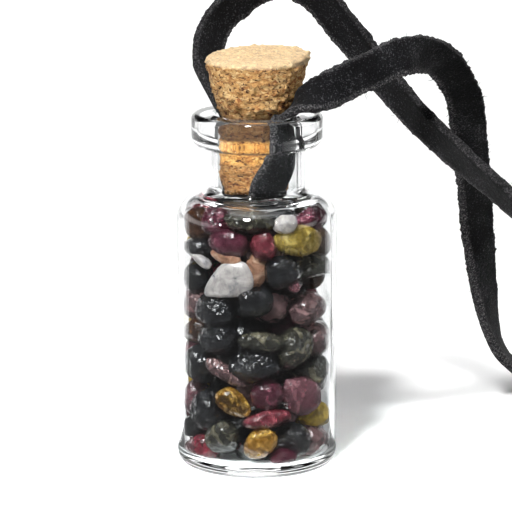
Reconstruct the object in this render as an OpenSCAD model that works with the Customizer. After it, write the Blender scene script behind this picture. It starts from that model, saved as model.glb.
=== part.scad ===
// Bottle pendant: a small corked glass vial of tumbled stone chips on a flat leather lace.
// The vial stands on z = 0 with its axis on Z. The viewer stands on the -Y side.
// All lengths are in millimetres and all angles in degrees.

/* [Bottle] */
// Height of the glass from its base to the top of the lip
bottle_h = 49; // [44:1:56]
// Outer radius of the straight body
bottle_r = 11; // [10:0.5:13]
// Thickness of the body wall and the shoulder
wall = 0.8; // [0.7:0.05:1.2]
// Thickness of the base over the push-up
base_t = 1.4; // [1.2:0.1:2]
// Rounding of the heel
heel_round = 1.6; // [1.2:0.1:2.2]
// How far the middle of the base is pushed up
push_up = 0.5; // [0.3:0.1:0.8]
// Outer radius of the shoulder's bend
shoulder_round = 3.4; // [2.6:0.1:3.6]

/* [Neck and lip] */
// Radius of the bore
bore_r = 5.4; // [5.2:0.1:5.7]
// Thickness of the neck wall
neck_wall = 1.2; // [1:0.1:1.4]
// Height from the flat of the shoulder to the lip's top
neck_h = 11.2; // [10.8:0.2:12.6]
// Outer radius of the lip ring
lip_r = 9; // [8.6:0.1:9.4]
// Height of the lip ring
lip_h = 4.6; // [4:0.2:5]
// Rounding of the lip's lower outer edge
lip_low_round = 1.6; // [1:0.1:1.8]
// Rounding of the lip's upper outer edge
lip_top_round = 0.8; // [0.5:0.1:1.2]
// Rounding of the mouth's inner edge
mouth_round = 1; // [0.6:0.1:1.2]

/* [Cork] */
// How far the cork stands above the lip
cork_above = 7.5; // [6:0.5:9]
// How deep the cork goes into the neck
cork_depth = 10.5; // [9:0.5:10.5]
// Radius of the cork's top
cork_top_r = 7; // [6.6:0.1:7.2]
// Rounding of the cork's edges
cork_round = 0.5; // [0.3:0.1:0.7]
// How much the squeezed part narrows towards its lower end
cork_taper = 0.22; // [0.2:0.02:0.5]

/* [Lace] */
// Width of the flat leather lace
lace_w = 5; // [4:0.5:5.5]
// Thickness of the free lace
lace_t = 1.4; // [1.2:0.1:1.5]
// Thickness of the lace where it is pinched in the neck
seat_t = 0.65; // [0.5:0.05:0.8]

/* [Stones] */
// Usual size of a stone chip, which the stone tables take shares of
stone_size = 6.4; // [5.6:0.2:7.2]
// How far below the flat of the shoulder the heap of chips ends
heap_drop = 1.4; // [1.4:0.2:5]
// Number of layers of loose chips behind the main ones
fill_layers = 9; // [7:1:9]

/* [Hidden] */
$fn = 64;
// Clearances: lace to bore, cork to lace, chip to chip, chip to glass and lace to ground
seat_gap = 0.08;
cork_gap = 0.2;
stone_gap = 0.09;
glass_gap = 0.12;
ground_gap = 0.1;

// The glass outline's own places, worked out from the sizes above
neck_r = bore_r + neck_wall;
inner_r = bottle_r - wall;
shoulder_z = bottle_h - neck_h;
bend_r = bottle_r - shoulder_round;
neck_fillet = bend_r - neck_r;
throat_round = bend_r - bore_r;
foot_w = 0.9;
foot_r = bottle_r - heel_round - foot_w;
lip_base_z = bottle_h - lip_h;
lip_fillet = 0.4;
floor_round = 1.4;
floor_z = base_t;

// The pinched lace and the cork follow the bore
seat_r = bore_r - seat_gap - seat_t / 2;
cork_neck_r = seat_r - seat_t / 2 - cork_gap;
cork_low_z = bottle_h - cork_depth;
cork_top_z = bottle_h + cork_above;
turn_r = cork_round + seat_t / 2 + cork_gap;
cork_low_r = cork_neck_r - cork_taper;
turn_at = cork_low_r - cork_round;
under_z = cork_low_z + cork_round - turn_r;

// The points of a round stretch of an outline, from angle a0 to a1 about c
function arc(c, r, a0, a1, n = 8) =
    [for (i = [0:n]) c + r * [cos(a0 + (a1 - a0) * i / n), sin(a0 + (a1 - a0) * i / n)]];

// A shallow dome from the middle at height h down to zero at radius r, as an outline
function dome(r, h, z, n = 6) = [for (i = [0:n]) [r * i / n, z + h * (1 - pow(i / n, 2))]];

// Unit vectors
function unit(v) = v / norm(v);
function flat_part(v, t) = v - (v * t) * t;

// Lace rings: each row is [x, y, z], [the way across the width], thickness, radius of curl.
// A ring has four points along each face, bent to the curl, and its edges close it.
LACE_ACROSS = 4;
function row_way(rows, i) = unit(rows[min(i + 1, len(rows) - 1)][0] - rows[max(i - 1, 0)][0]);
function ring(row, way) =
    let (across = unit(flat_part(row[1], way)), face = cross(way, across))
    [for (s = [0:2 * LACE_ACROSS - 1])
        let (
            k = s < LACE_ACROSS ? s : 2 * LACE_ACROSS - 1 - s,
            w = (k / (LACE_ACROSS - 1) - 0.5) * lace_w,
            side = (s < LACE_ACROSS ? 0.5 : -0.5) * row[2],
            a = w / row[3] * 180 / PI
        )
        row[0] + face * ((row[3] + side) * cos(a) - row[3]) + across * (row[3] + side) * sin(a)];

module lace(rows, first_way, last_way) {
    n = len(rows);
    m = 2 * LACE_ACROSS;
    points = [for (i = [0:n - 1])
        each ring(rows[i], i == 0 ? first_way : i == n - 1 ? last_way : row_way(rows, i))];
    sides = [for (i = [0:n - 2], s = [0:m - 1])
        let (a = i * m + s, b = i * m + (s + 1) % m)
        each [[a, b, b + m], [a, b + m, a + m]]];
    cap = [for (k = [0:LACE_ACROSS - 2]) each [[k, m - 1 - k, k + 1], [k + 1, m - 1 - k, m - 2 - k]]];
    far_cap = [for (f = cap) [for (v = [2:-1:0]) f[v] + (n - 1) * m]];
    polyhedron(points, concat(sides, cap, far_cap), convexity = 6);
}

// The pinched stretch runs from the back left of the mouth down the bore, under the cork and
// up to the front right of the mouth. These are its turning angles round the bottle's axis.
MOUTH_BACK = 142;
MOUTH_FRONT = -40;
TURN_BACK = 142;
TURN_FRONT = -72;
// Where it crosses under the cork: place, turning angle of its width, and radius of curl
UNDER_SPOT = [-0.7, -0.2];
UNDER_ANGLE = 125;
UNDER_CURL = 40;
// It leans out over the rounded mouth. These are shares of the mouth's rounding.
MOUTH_LEAN = 0.75 * mouth_round;
MOUTH_Z = bottle_h + 0.3 * mouth_round;
BEND_Z = bottle_h - 0.6 * mouth_round;
TURN_Z = cork_low_z + cork_round;
// As it turns under the cork it flattens and twists a little
TURN_CURL = 12;
TURN_TWIST = 10;
SEAT_STEPS = 3;
function around(a, r, z) = [r * cos(a), r * sin(a), z];
function tangent(a) = [-sin(a), cos(a), 0];
function seat_row(a, r, z, curl, turned = 0) = [around(a, r, z), tangent(a + turned), seat_t, curl];
function turn_row(a, t, turned = 0) =
    seat_row(a, turn_at + turn_r * cos(t), TURN_Z - turn_r * sin(t),
        seat_r + TURN_CURL * pow(t / 90, 4), turned);
function front_drift(k) = (TURN_FRONT - MOUTH_FRONT) * pow(1 - k / SEAT_STEPS, 2);
SEAT_ROWS = concat(
    [seat_row(MOUTH_BACK, seat_r + MOUTH_LEAN, MOUTH_Z, seat_r + MOUTH_LEAN)],
    [for (k = [0:SEAT_STEPS - 1])
        seat_row(MOUTH_BACK, seat_r, BEND_Z + k * (TURN_Z - BEND_Z) / SEAT_STEPS, seat_r)],
    [for (t = [0:30:90]) turn_row(TURN_BACK, t, TURN_TWIST * t / 90)],
    [[[UNDER_SPOT[0], UNDER_SPOT[1], under_z], tangent(UNDER_ANGLE), seat_t, UNDER_CURL]],
    [for (t = [90:-30:0]) turn_row(TURN_FRONT, t, 180 - TURN_TWIST * t / 90)],
    [for (k = [1:SEAT_STEPS])
        seat_row(MOUTH_FRONT + front_drift(k), seat_r, TURN_Z + k * (BEND_Z - TURN_Z) / SEAT_STEPS,
            seat_r, 180)],
    [seat_row(MOUTH_FRONT, seat_r + MOUTH_LEAN, MOUTH_Z, seat_r + MOUTH_LEAN, 180)]
);

// The free strands' routes: each row is a point and the way across the lace there. Where the
// lace still swells out of the pinch, a row also has its thickness and its radius of curl.
FLAT_CURL = 60;
function strand_row(row) = len(row) > 2 ? row : [row[0], row[1], lace_t, FLAT_CURL];

// The strand from the back left of the mouth
LEFT_ROUTE = [
    [[-5.2, 4.4, 50.9], [0.62, 0.78, 0], 1.1, 6],
    [[-5.9, 5.6, 52.6], [0.66, 0.74, -0.05], lace_t, 12],
    [[-6.7, 7.6, 54.6], [0.7, 0.7, -0.1], lace_t, 30],
    [[-6.5, 9.5, 57.6], [0.72, 0.66, -0.15]],
    [[-5, 11, 60.5], [0.7, 0.6, -0.4]],
    [[-2.3, 12, 62.9], [0.62, 0.5, -0.62]],
    [[0.4, 12.4, 64.6], [0.35, 0.5, -0.78]],
    [[3.2, 12.5, 65.3], [0, 0.55, -0.83]],
    [[6, 12.4, 64.7], [-0.35, 0.5, -0.78]],
    [[8.7, 12.2, 62.9], [-0.6, 0.5, -0.62]],
    [[11, 12, 60.3], [-0.66, 0.52, -0.55]],
    [[14.9, 11.8, 55.4], [-0.64, 0.56, -0.53]],
    [[18.3, 11, 51.3], [-0.58, 0.62, -0.52]],
    [[21.6, 9.5, 47.6], [-0.5, 0.7, -0.5]],
    [[24.8, 7.5, 44.6], [-0.45, 0.75, -0.48]],
    [[29.4, 3, 41], [-0.36, 0.85, -0.38]],
    [[34.9, -2, 36.8], [-0.3, 0.88, -0.33]],
    [[41, -5, 31], [-0.25, 0.92, -0.3]],
    [[48, -7, 23.5], [-0.2, 0.95, -0.25]],
    [[54.5, -8, 15.5], [-0.12, 0.98, -0.15]],
    [[60.5, -8, 8], [-0.05, 1, -0.05]],
    [[67, -8, 2.8], [0, 1, 0]],
    [[74.5, -7.5, 0.8], [-0.05, 1, 0]],
    [[83, -6.5, 0.8], [-0.15, 1, 0]],
    [[91.5, -4, 0.8], [-0.4, 0.9, 0]],
    [[99, 1, 0.8], [-0.65, 0.75, 0]],
    [[104.5, 8, 0.8], [-0.9, 0.45, 0]],
    [[107, 17, 0.8], [-1, 0.1, 0]],
    [[105.8, 26, 0.8], [-1, -0.1, 0]],
];

// The strand from the front right of the mouth
RIGHT_ROUTE = [
    [[5.1, -5.5, 50.8], [-0.22, -0.87, -0.3], 1.1, 8],
    [[7, -5.8, 51.9], [-0.2, -0.5, -0.8], lace_t, 30],
    [[9.7, -5.6, 53], [-0.28, -0.1, -0.95]],
    [[12.5, -5, 54.3], [-0.2, 0, -0.98]],
    [[15.7, -4, 55.6], [-0.1, 0, -1]],
    [[18.2, -2.8, 56.7], [-0.1, -0.2, -0.95]],
    [[20.8, -1, 57.1], [-0.17, -0.3, -0.9]],
    [[23, 2, 56.7], [-0.4, -0.2, -0.8]],
    [[25.2, 5, 55.4], [-0.75, 0.1, -0.6]],
    [[27.2, 8, 52.8], [-0.86, 0, -0.42]],
    [[28.6, 10.5, 50], [-0.93, -0.06, -0.36]],
    [[29.5, 13, 46.5], [-0.97, 0, -0.15]],
    [[30.2, 16, 41.2], [-0.95, -0.2, -0.1]],
    [[30.8, 18, 37.4], [-0.92, -0.3, -0.12]],
    [[31.7, 22, 29.2], [-0.88, -0.42, -0.15]],
    [[32.3, 24, 24.3], [-0.77, -0.6, -0.18]],
    [[33.2, 27, 18.8], [-0.6, -0.8, -0.15]],
    [[34.5, 30.5, 12.6], [-0.33, -0.94, -0.1]],
    [[36.2, 34.5, 7.6], [0, -0.95, -0.3]],
    [[39, 39, 3.8], [0.35, -0.85, -0.3]],
    [[43, 45, 1.7], [0.6, -0.75, -0.1]],
    [[49.5, 52, 0.8], [0.65, -0.75, 0]],
    [[57.5, 58, 0.8], [0.55, -0.85, 0]],
    [[66, 62, 0.8], [0.35, -0.95, 0]],
    [[76, 64, 0.8], [0.1, -1, 0]],
    [[86, 63.5, 0.8], [-0.2, -1, 0]],
    [[95, 60, 0.8], [-0.5, -0.85, 0]],
    [[101.5, 54, 0.8], [-0.85, -0.6, 0]],
    [[105, 46.5, 0.8], [-1, -0.25, 0]],
    [[105.8, 40, 0.8], [-1, 0, 0]],
];
UP = [0, 0, 1];
ALONG_KNOT = [0, 1, 0];

// The knot lies where the two strands' ends meet
KNOT_X = 105.8;
KNOT_Y = [26.05, 39.95];
KNOT_LOBE_R = 2.6;
KNOT_SPREAD = [1.7, 1.9];
TAIL_LENGTH = 13;
TAIL_APART = 2.4;

// Colour of each kind of stone
function stone_colour(kind) =
    kind == "black" ? [0.1, 0.11, 0.12] : kind == "slate" ? [0.24, 0.27, 0.28] :
    kind == "brown" ? [0.32, 0.16, 0.08] : kind == "rose" ? [0.72, 0.35, 0.45] :
    kind == "plum" ? [0.5, 0.16, 0.3] : kind == "red" ? [0.6, 0.1, 0.16] :
    kind == "olive" ? [0.62, 0.55, 0.16] : kind == "gold" ? [0.85, 0.62, 0.2] :
    kind == "peach" ? [0.82, 0.55, 0.35] : kind == "mauve" ? [0.5, 0.33, 0.33] :
    kind == "clear" ? [0.88, 0.86, 0.9] : [0.3, 0.28, 0.26];

// The main stones. Angle round the axis from the front, height as a share of the heap,
// half length, half height and half depth as shares of the stone size, roll, kind
ANGLE = 0;
RISE = 1;
LONG = 2;
TALL = 3;
DEEP = 4;
ROLL = 5;
KIND = 6;
STONES = [
    [-72, 0.93, 0.34, 0.40, 0.34, 10, "brown"],
    [-40, 0.96, 0.34, 0.32, 0.36, 0, "plum"],
    [-27, 0.885, 0.52, 0.44, 0.36, -10, "plum"],
    [-4, 0.975, 0.70, 0.32, 0.40, 4, "slate"],
    [24, 0.955, 0.38, 0.30, 0.30, 0, "clear"],
    [58, 0.95, 0.55, 0.34, 0.36, 12, "plum"],
    [41, 0.87, 0.74, 0.44, 0.36, -4, "olive"],
    [7, 0.87, 0.34, 0.42, 0.36, 0, "red"],
    [84, 0.85, 0.34, 0.38, 0.34, 0, "brown"],
    [-72, 0.83, 0.44, 0.38, 0.36, 0, "black"],
    [-62, 0.775, 0.36, 0.24, 0.32, 35, "clear"],
    [-36, 0.80, 0.36, 0.36, 0.32, 0, "peach"],
    [-6, 0.77, 0.38, 0.46, 0.34, 0, "peach"],
    [-29, 0.725, 0.72, 0.46, 0.30, -24, "clear"],
    [24, 0.77, 0.54, 0.38, 0.38, 0, "black"],
    [70, 0.76, 0.50, 0.44, 0.40, 0, "slate"],
    [36, 0.70, 0.24, 0.34, 0.28, 0, "rose"],
    [-84, 0.71, 0.38, 0.36, 0.34, 0, "black"],
    [-6, 0.66, 0.62, 0.34, 0.40, 6, "black"],
    [54, 0.61, 0.60, 0.32, 0.34, 8, "mauve"],
    [-82, 0.60, 0.34, 0.34, 0.32, 0, "mauve"],
    [-44, 0.61, 0.52, 0.40, 0.38, 0, "black"],
    [-80, 0.50, 0.36, 0.38, 0.34, 0, "brown"],
    [2, 0.51, 0.64, 0.36, 0.38, -6, "slate"],
    [-40, 0.50, 0.50, 0.36, 0.38, 6, "black"],
    [68, 0.48, 0.40, 0.50, 0.34, -40, "mauve"],
    [38, 0.46, 0.34, 0.62, 0.36, -50, "black"],
    [-72, 0.38, 0.46, 0.48, 0.38, 0, "slate"],
    [-2, 0.39, 0.80, 0.42, 0.42, 0, "black"],
    [-36, 0.35, 0.58, 0.34, 0.34, -24, "mauve"],
    [70, 0.34, 0.46, 0.50, 0.38, 0, "slate"],
    [6, 0.29, 0.50, 0.40, 0.36, 0, "plum"],
    [42, 0.255, 0.60, 0.54, 0.38, -20, "rose"],
    [-84, 0.22, 0.28, 0.62, 0.30, 4, "rose"],
    [-20, 0.235, 0.48, 0.52, 0.36, 20, "gold"],
    [-54, 0.20, 0.42, 0.52, 0.36, 0, "black"],
    [12, 0.185, 0.66, 0.26, 0.34, 12, "red"],
    [-34, 0.085, 0.52, 0.40, 0.38, 0, "slate"],
    [3, 0.085, 0.52, 0.48, 0.36, 12, "gold"],
    [36, 0.09, 0.44, 0.40, 0.36, -10, "black"],
];

// Loose chips behind the main ones: in each layer five stand round the back wall and four
// round the middle, and a fringe of small ones fills the gaps at the front
BACK_CHIPS = 5;
MIDDLE_CHIPS = 4;
// Half sizes of the loose chips as shares of the stone size, and how they are spread
BACK_HALF = [0.52, 0.42, 0.36];
BACK_STEP = 33;
BACK_TURN = 14;
MIDDLE_HALF = [0.5, 0.42, 0.5];
MIDDLE_AT = 0.42 * inner_r;
MIDDLE_TURN = 40;
FILL_FRONT = [
    [-76, 0.115, 0.34, 0.36, 0.34, 0, "olive"],
    [-60, 0.045, 0.44, 0.34, 0.34, 0, "black"],
    [72, 0.17, 0.36, 0.34, 0.34, 0, "brown"],
    [64, 0.07, 0.46, 0.38, 0.36, 0, "black"],
    [24, 0.025, 0.44, 0.22, 0.30, 14, "plum"],
];
inner_h = shoulder_z - heap_drop - floor_z;
function wall_spot(row) =
    let (r = inner_r - glass_gap - row[DEEP] * stone_size)
    [r * sin(row[ANGLE]), -r * cos(row[ANGLE]), floor_z + row[RISE] * inner_h];

// A chip is its middle, its three half sizes and its three ways: along, up and outwards
function chip(spot, half, angle, roll) =
    let (
        along = [cos(angle), sin(angle), 0],
        out = [sin(angle), -cos(angle), 0]
    )
    [spot, half, [along * cos(roll) + UP * sin(roll), UP * cos(roll) - along * sin(roll), out]];
function wall_chip(row) =
    chip(wall_spot(row), [row[LONG], row[TALL], row[DEEP]] * stone_size, row[ANGLE], row[ROLL]);
// A lively value is different for each chip, between minus and plus its span
GOLDEN_ANGLE = 137.5;
function lively(k, span) = span * sin(k * GOLDEN_ANGLE);
function layer_rise(layer) = (layer + 0.5) / fill_layers;
function back_chip(layer, j) =
    let (
        k = layer * BACK_CHIPS + j,
        angle = 180 + BACK_STEP * (j - 2) + (layer % 2) * BACK_TURN + lively(k, 4),
        rise = layer_rise(layer) + lively(k + 3, 0.012),
        long = BACK_HALF[0] + lively(k + 7, 0.08),
        tall = BACK_HALF[1] + lively(k + 5, 0.05)
    )
    wall_chip([angle, rise, long, tall, BACK_HALF[2], lively(k, 30), "fill"]);
function middle_chip(layer, j) =
    let (
        k = layer * MIDDLE_CHIPS + j,
        angle = 90 * j + MIDDLE_TURN * layer + lively(k, 8),
        rise = layer_rise(layer) + lively(k + 2, 0.015),
        long = MIDDLE_HALF[0] + lively(k + 1, 0.06)
    )
    chip([MIDDLE_AT * sin(angle), -MIDDLE_AT * cos(angle), floor_z + rise * inner_h],
        [long, MIDDLE_HALF[1], MIDDLE_HALF[2]] * stone_size, angle, lively(k, 40));
MAIN_CHIPS = [for (row = STONES) wall_chip(row)];
LOOSE_CHIPS = concat(
    [for (row = FILL_FRONT) wall_chip(row)],
    [for (layer = [0:fill_layers - 1], j = [0:BACK_CHIPS - 1]) back_chip(layer, j)],
    [for (layer = [0:fill_layers - 1], j = [0:MIDDLE_CHIPS - 1]) middle_chip(layer, j)]
);
ALL_CHIPS = concat(MAIN_CHIPS, LOOSE_CHIPS);

// How far a chip reaches from its middle along a unit way, before anything stops it
function reach(c, way) =
    let (p = c[2][0] * way / c[1][0], q = c[2][1] * way / c[1][1], s = c[2][2] * way / c[1][2])
    1 / sqrt(p * p + q * q + s * s);

// Each pair of near chips shares the space between them in proportion to their reach.
// A chip's neighbours are kept as [way to it, distance of the shared face].
NEAR = 2.2 * stone_size;
function neighbours(i) =
    let (c = ALL_CHIPS[i])
    [for (j = [0:len(ALL_CHIPS) - 1])
        let (d = ALL_CHIPS[j][0] - c[0], gap = norm(d))
        if (j != i && gap < NEAR)
            let (way = d / gap, mine = reach(c, way), theirs = reach(ALL_CHIPS[j], way))
            [way, gap * mine / (mine + theirs) - stone_gap / 2]];

// How much room a point inside the glass has before it comes within glass_gap of a wall
heel_at = [inner_r - floor_round, floor_z + floor_round];
bend_at = [bend_r, shoulder_z - shoulder_round];
function room(p) =
    let (q = [norm([p[0], p[1]]), p[2]])
    q[0] > heel_at[0] && q[1] < heel_at[1] ? floor_round - glass_gap - norm(q - heel_at) :
    q[0] > bend_at[0] && q[1] > bend_at[1] ? shoulder_round - wall - glass_gap - norm(q - bend_at) :
    min(inner_r - glass_gap - q[0], q[1] - floor_z - glass_gap, shoulder_z - wall - glass_gap - q[1]);

// How far a chip may reach from its middle before the glass stops it, found by halving
HALVINGS = 9;
function narrowed(p, way, low, high, steps) =
    steps == 0 ? low :
    let (middle = (low + high) / 2)
    room(p + middle * way) > 0 ? narrowed(p, way, middle, high, steps - 1) :
        narrowed(p, way, low, middle, steps - 1);
function in_glass(p, way, far) = room(p + far * way) > 0 ? far : narrowed(p, way, 0, far, HALVINGS);

// The directions in which a chip's surface is placed: two poles and five rows of eight
ROWS = 5;
COLUMNS = 8;
DIRECTIONS = concat(
    [[0, 0, 1]],
    [for (i = [1:ROWS], j = [0:COLUMNS - 1])
        let (lift = 90 - 180 * i / (ROWS + 1), turn = 360 * (j + (i % 2) / 2) / COLUMNS)
        [cos(lift) * cos(turn), cos(lift) * sin(turn), sin(lift)]],
    [[0, 0, -1]]
);
LAST = len(DIRECTIONS) - 1;
function at(i, j) = 1 + (i - 1) * COLUMNS + (j + COLUMNS) % COLUMNS;
CHIP_FACES = concat(
    [for (j = [0:COLUMNS - 1]) [0, at(1, j + 1), at(1, j)]],
    [for (i = [1:ROWS - 1], j = [0:COLUMNS - 1])
        let (s = i % 2)
        each [
            [at(i, j), at(i, j + 1), at(i + 1, j + s)],
            [at(i, j), at(i + 1, j + s), at(i + 1, j + s - 1)]
        ]],
    [for (j = [0:COLUMNS - 1]) [LAST, at(ROWS, j), at(ROWS, j + 1)]]
);
// A neighbour stops only the ways that face it, and a chip never shrinks below its core
FACING = 0.05;
CORE_R = 0.3;
module tumbled_chip(i) {
    c = ALL_CHIPS[i];
    near = neighbours(i);
    points = [for (d = DIRECTIONS)
        let (
            way = c[2][0] * d[0] + c[2][1] * d[1] + c[2][2] * d[2],
            limits = [for (n = near) if (way * n[0] > FACING) n[1] / (way * n[0])]
        )
        c[0] + way * in_glass(c[0], way, max(CORE_R, min(concat([reach(c, way)], limits))))];
    polyhedron(points, CHIP_FACES, convexity = 2);
}

function stone_name(i) = str("stone_", i < 9 ? "0" : "", i + 1);

module glass_bottle() {
    outside = concat(
        dome(foot_r, push_up, 0),
        arc([bottle_r - heel_round, heel_round], heel_round, -90, 0),
        arc([bend_r, shoulder_z - shoulder_round], shoulder_round, 0, 90),
        arc([bend_r, shoulder_z + neck_fillet], neck_fillet, 270, 180),
        arc([neck_r + lip_fillet, lip_base_z - lip_fillet], lip_fillet, 180, 90, 4),
        arc([lip_r - lip_low_round, lip_base_z + lip_low_round], lip_low_round, -90, 0),
        arc([lip_r - lip_top_round, bottle_h - lip_top_round], lip_top_round, 0, 90)
    );
    inside = concat(
        arc([bore_r + mouth_round, bottle_h - mouth_round], mouth_round, 90, 180),
        arc([bend_r, shoulder_z - wall + throat_round], throat_round, 180, 270),
        arc([bend_r, shoulder_z - shoulder_round], shoulder_round - wall, 90, 0),
        arc([inner_r - floor_round, floor_z + floor_round], floor_round, 0, -90),
        [[0, floor_z]]
    );
    color([0.85, 0.93, 0.95, 0.4]) rotate_extrude() polygon(concat(outside, inside));
}

// Where the cork swells out of the neck: how far out and how far above the lip's top, as
// shares of the mouth's rounding
CORK_FLARE = [[0, -0.9], [0.02, -0.5], [0.62, 0.5], [1.1, 1.4]];
module cork_stopper() {
    outline = concat(
        [[0, cork_low_z]],
        arc([cork_low_r - cork_round, cork_low_z + cork_round], cork_round, -90, 0, 4),
        [for (swell = CORK_FLARE) [cork_neck_r, bottle_h] + swell * mouth_round],
        arc([cork_top_r - cork_round, cork_top_z - cork_round], cork_round, 0, 90, 4),
        [[0, cork_top_z]]
    );
    color([0.8, 0.6, 0.38]) rotate_extrude() polygon(outline);
}

module lace_seat() color([0.12, 0.12, 0.13]) lace(SEAT_ROWS, -UP, UP);

module lace_left() {
    from_seat = [SEAT_ROWS[0][0], -SEAT_ROWS[0][1], seat_t, seat_r + MOUTH_LEAN];
    color([0.1, 0.1, 0.11])
        lace(concat([from_seat], [for (row = LEFT_ROUTE) strand_row(row)]), UP, ALONG_KNOT);
}

module lace_right() {
    from_seat = SEAT_ROWS[len(SEAT_ROWS) - 1];
    color([0.1, 0.1, 0.11])
        lace(concat([from_seat], [for (row = RIGHT_ROUTE) strand_row(row)]), UP, -ALONG_KNOT);
}

// An overhand knot drawn tight: two crossed lobes on the two strands' ends, and two tails
module lobe(side)
    hull()
        for (end = [-1, 1])
            translate([end * side * KNOT_SPREAD[0], end * KNOT_SPREAD[1], KNOT_LOBE_R + ground_gap])
                sphere(KNOT_LOBE_R, $fn = 16);
module lace_knot() {
    length = KNOT_Y[1] - KNOT_Y[0];
    color([0.1, 0.1, 0.11]) {
        translate([KNOT_X - lace_w / 2, KNOT_Y[0], ground_gap]) cube([lace_w, length, lace_t]);
        translate([KNOT_X, (KNOT_Y[0] + KNOT_Y[1]) / 2, 0]) {
            for (side = [-1, 1]) lobe(side);
            for (side = [-1, 1])
                translate([-TAIL_LENGTH, side * TAIL_APART - lace_w / 4, ground_gap])
                    cube([TAIL_LENGTH, lace_w / 2, lace_t]);
        }
    }
}

module stone(i) color(stone_colour(STONES[i][KIND])) tumbled_chip(i);

module stone_fill() color([0.2, 0.18, 0.17]) for (i = [len(STONES):len(ALL_CHIPS) - 1]) tumbled_chip(i);

glass_bottle();
cork_stopper();
lace_seat();
lace_left();
lace_right();
lace_knot();
stone_fill();
for (i = [0:len(STONES) - 1])
    stone(i);
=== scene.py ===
# %% [markdown]
# A small glass bottle stands on a pale table. It is full of tumbled stone chips, a tapered cork closes
# it, and a flat black leather lace is pinched between the cork and the neck, so that the bottle can be
# worn as a pendant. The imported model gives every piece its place, and this lesson dresses those pieces.

import math

import bmesh
import bpy
from mathutils import Matrix, Vector, noise


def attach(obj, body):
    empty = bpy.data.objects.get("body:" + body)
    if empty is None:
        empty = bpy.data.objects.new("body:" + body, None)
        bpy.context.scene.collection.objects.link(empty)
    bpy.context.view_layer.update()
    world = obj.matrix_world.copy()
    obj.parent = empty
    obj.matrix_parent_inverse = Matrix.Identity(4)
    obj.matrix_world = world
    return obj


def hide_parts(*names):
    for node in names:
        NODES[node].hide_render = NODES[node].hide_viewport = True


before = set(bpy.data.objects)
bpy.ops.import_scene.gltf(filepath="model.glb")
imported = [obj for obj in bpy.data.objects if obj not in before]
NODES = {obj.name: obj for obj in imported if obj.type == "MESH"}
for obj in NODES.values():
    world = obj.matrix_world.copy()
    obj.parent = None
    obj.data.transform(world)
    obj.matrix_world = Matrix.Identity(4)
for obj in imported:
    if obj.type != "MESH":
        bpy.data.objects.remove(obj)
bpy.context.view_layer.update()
scene = bpy.context.scene
MM = 0.001

# %% [markdown]
# The camera looks slightly down on the bottle from the front, through a long lens, so that the bottle's
# sides stay nearly parallel. It is made first, because the lace is measured against what it sees.

# %% Camera
CAMERA_AIM = Vector((0, 0, 29 * MM))
CAMERA_AWAY = 465 * MM
CAMERA_PITCH = math.radians(12)
CAMERA_LENS = 237.4
SENSOR_WIDTH = 36
PICTURE_SHIFT = -1 / 512
NEAREST_SEEN = 10 * MM
camera_data = bpy.data.cameras.new("camera")
camera_data.lens = CAMERA_LENS
camera_data.sensor_width = SENSOR_WIDTH
camera_data.shift_x = PICTURE_SHIFT
camera_data.clip_start = NEAREST_SEEN
camera = bpy.data.objects.new("camera", camera_data)
camera.location = CAMERA_AIM + CAMERA_AWAY * Vector((0, -math.cos(CAMERA_PITCH), math.sin(CAMERA_PITCH)))
camera.rotation_euler = (math.radians(90) - CAMERA_PITCH, 0, 0)
scene.collection.objects.link(camera)
scene.camera = camera
print("camera stands at", [round(v, 4) for v in camera.location])

# %% [markdown]
# The lace comes next. It is one flat strip of leather: it comes up from a knot that lies on the table,
# goes over the back of the bottle's mouth, down the neck, under the cork, up the front of the neck and
# back to the knot. The route is a short list of points with the way across the strip at each one. Where
# the strip is squeezed, a point also has its thickness and how tightly it curls round the bore.

# %% Route of the lace, in millimetres
LACE_WIDTH = 5.0
LACE_THICK = 1.4
PINCHED_THICK = 0.65
FLAT_CURL = 60.0
LEFT_ROUTE = [
    ((-5.2, 4.4, 50.9), (0.62, 0.78, 0), 1.1, 6),
    ((-5.9, 5.6, 52.6), (0.66, 0.74, -0.05), 1.4, 12),
    ((-6.7, 7.6, 54.6), (0.7, 0.7, -0.1), 1.4, 30),
    ((-6.5, 9.5, 57.6), (0.72, 0.66, -0.15)),
    ((-5, 11, 60.5), (0.7, 0.6, -0.4)),
    ((-2.3, 12, 62.9), (0.62, 0.5, -0.62)),
    ((0.4, 12.4, 64.6), (0.35, 0.5, -0.78)),
    ((3.2, 12.5, 65.3), (0, 0.55, -0.83)),
    ((6, 12.4, 64.7), (-0.35, 0.5, -0.78)),
    ((8.7, 12.2, 62.9), (-0.6, 0.5, -0.62)),
    ((11, 12, 60.3), (-0.66, 0.52, -0.55)),
    ((14.9, 11.8, 55.4), (-0.64, 0.56, -0.53)),
    ((18.3, 11, 51.3), (-0.58, 0.62, -0.52)),
    ((21.6, 9.5, 47.6), (-0.5, 0.7, -0.5)),
    ((24.8, 7.5, 44.6), (-0.45, 0.75, -0.48)),
    ((29.4, 3, 41), (-0.36, 0.85, -0.38)),
    ((34.9, -2, 36.8), (-0.3, 0.88, -0.33)),
    ((41, -5, 31), (-0.25, 0.92, -0.3)),
    ((48, -7, 23.5), (-0.2, 0.95, -0.25)),
    ((54.5, -8, 15.5), (-0.12, 0.98, -0.15)),
    ((60.5, -8, 8), (-0.05, 1, -0.05)),
    ((67, -8, 2.8), (0, 1, 0)),
    ((74.5, -7.5, 0.8), (-0.05, 1, 0)),
    ((83, -6.5, 0.8), (-0.15, 1, 0)),
    ((91.5, -4, 0.8), (-0.4, 0.9, 0)),
    ((99, 1, 0.8), (-0.65, 0.75, 0)),
    ((104.5, 8, 0.8), (-0.9, 0.45, 0)),
    ((107, 17, 0.8), (-1, 0.1, 0)),
    ((105.8, 26, 0.8), (-1, -0.1, 0)),
]
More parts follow.
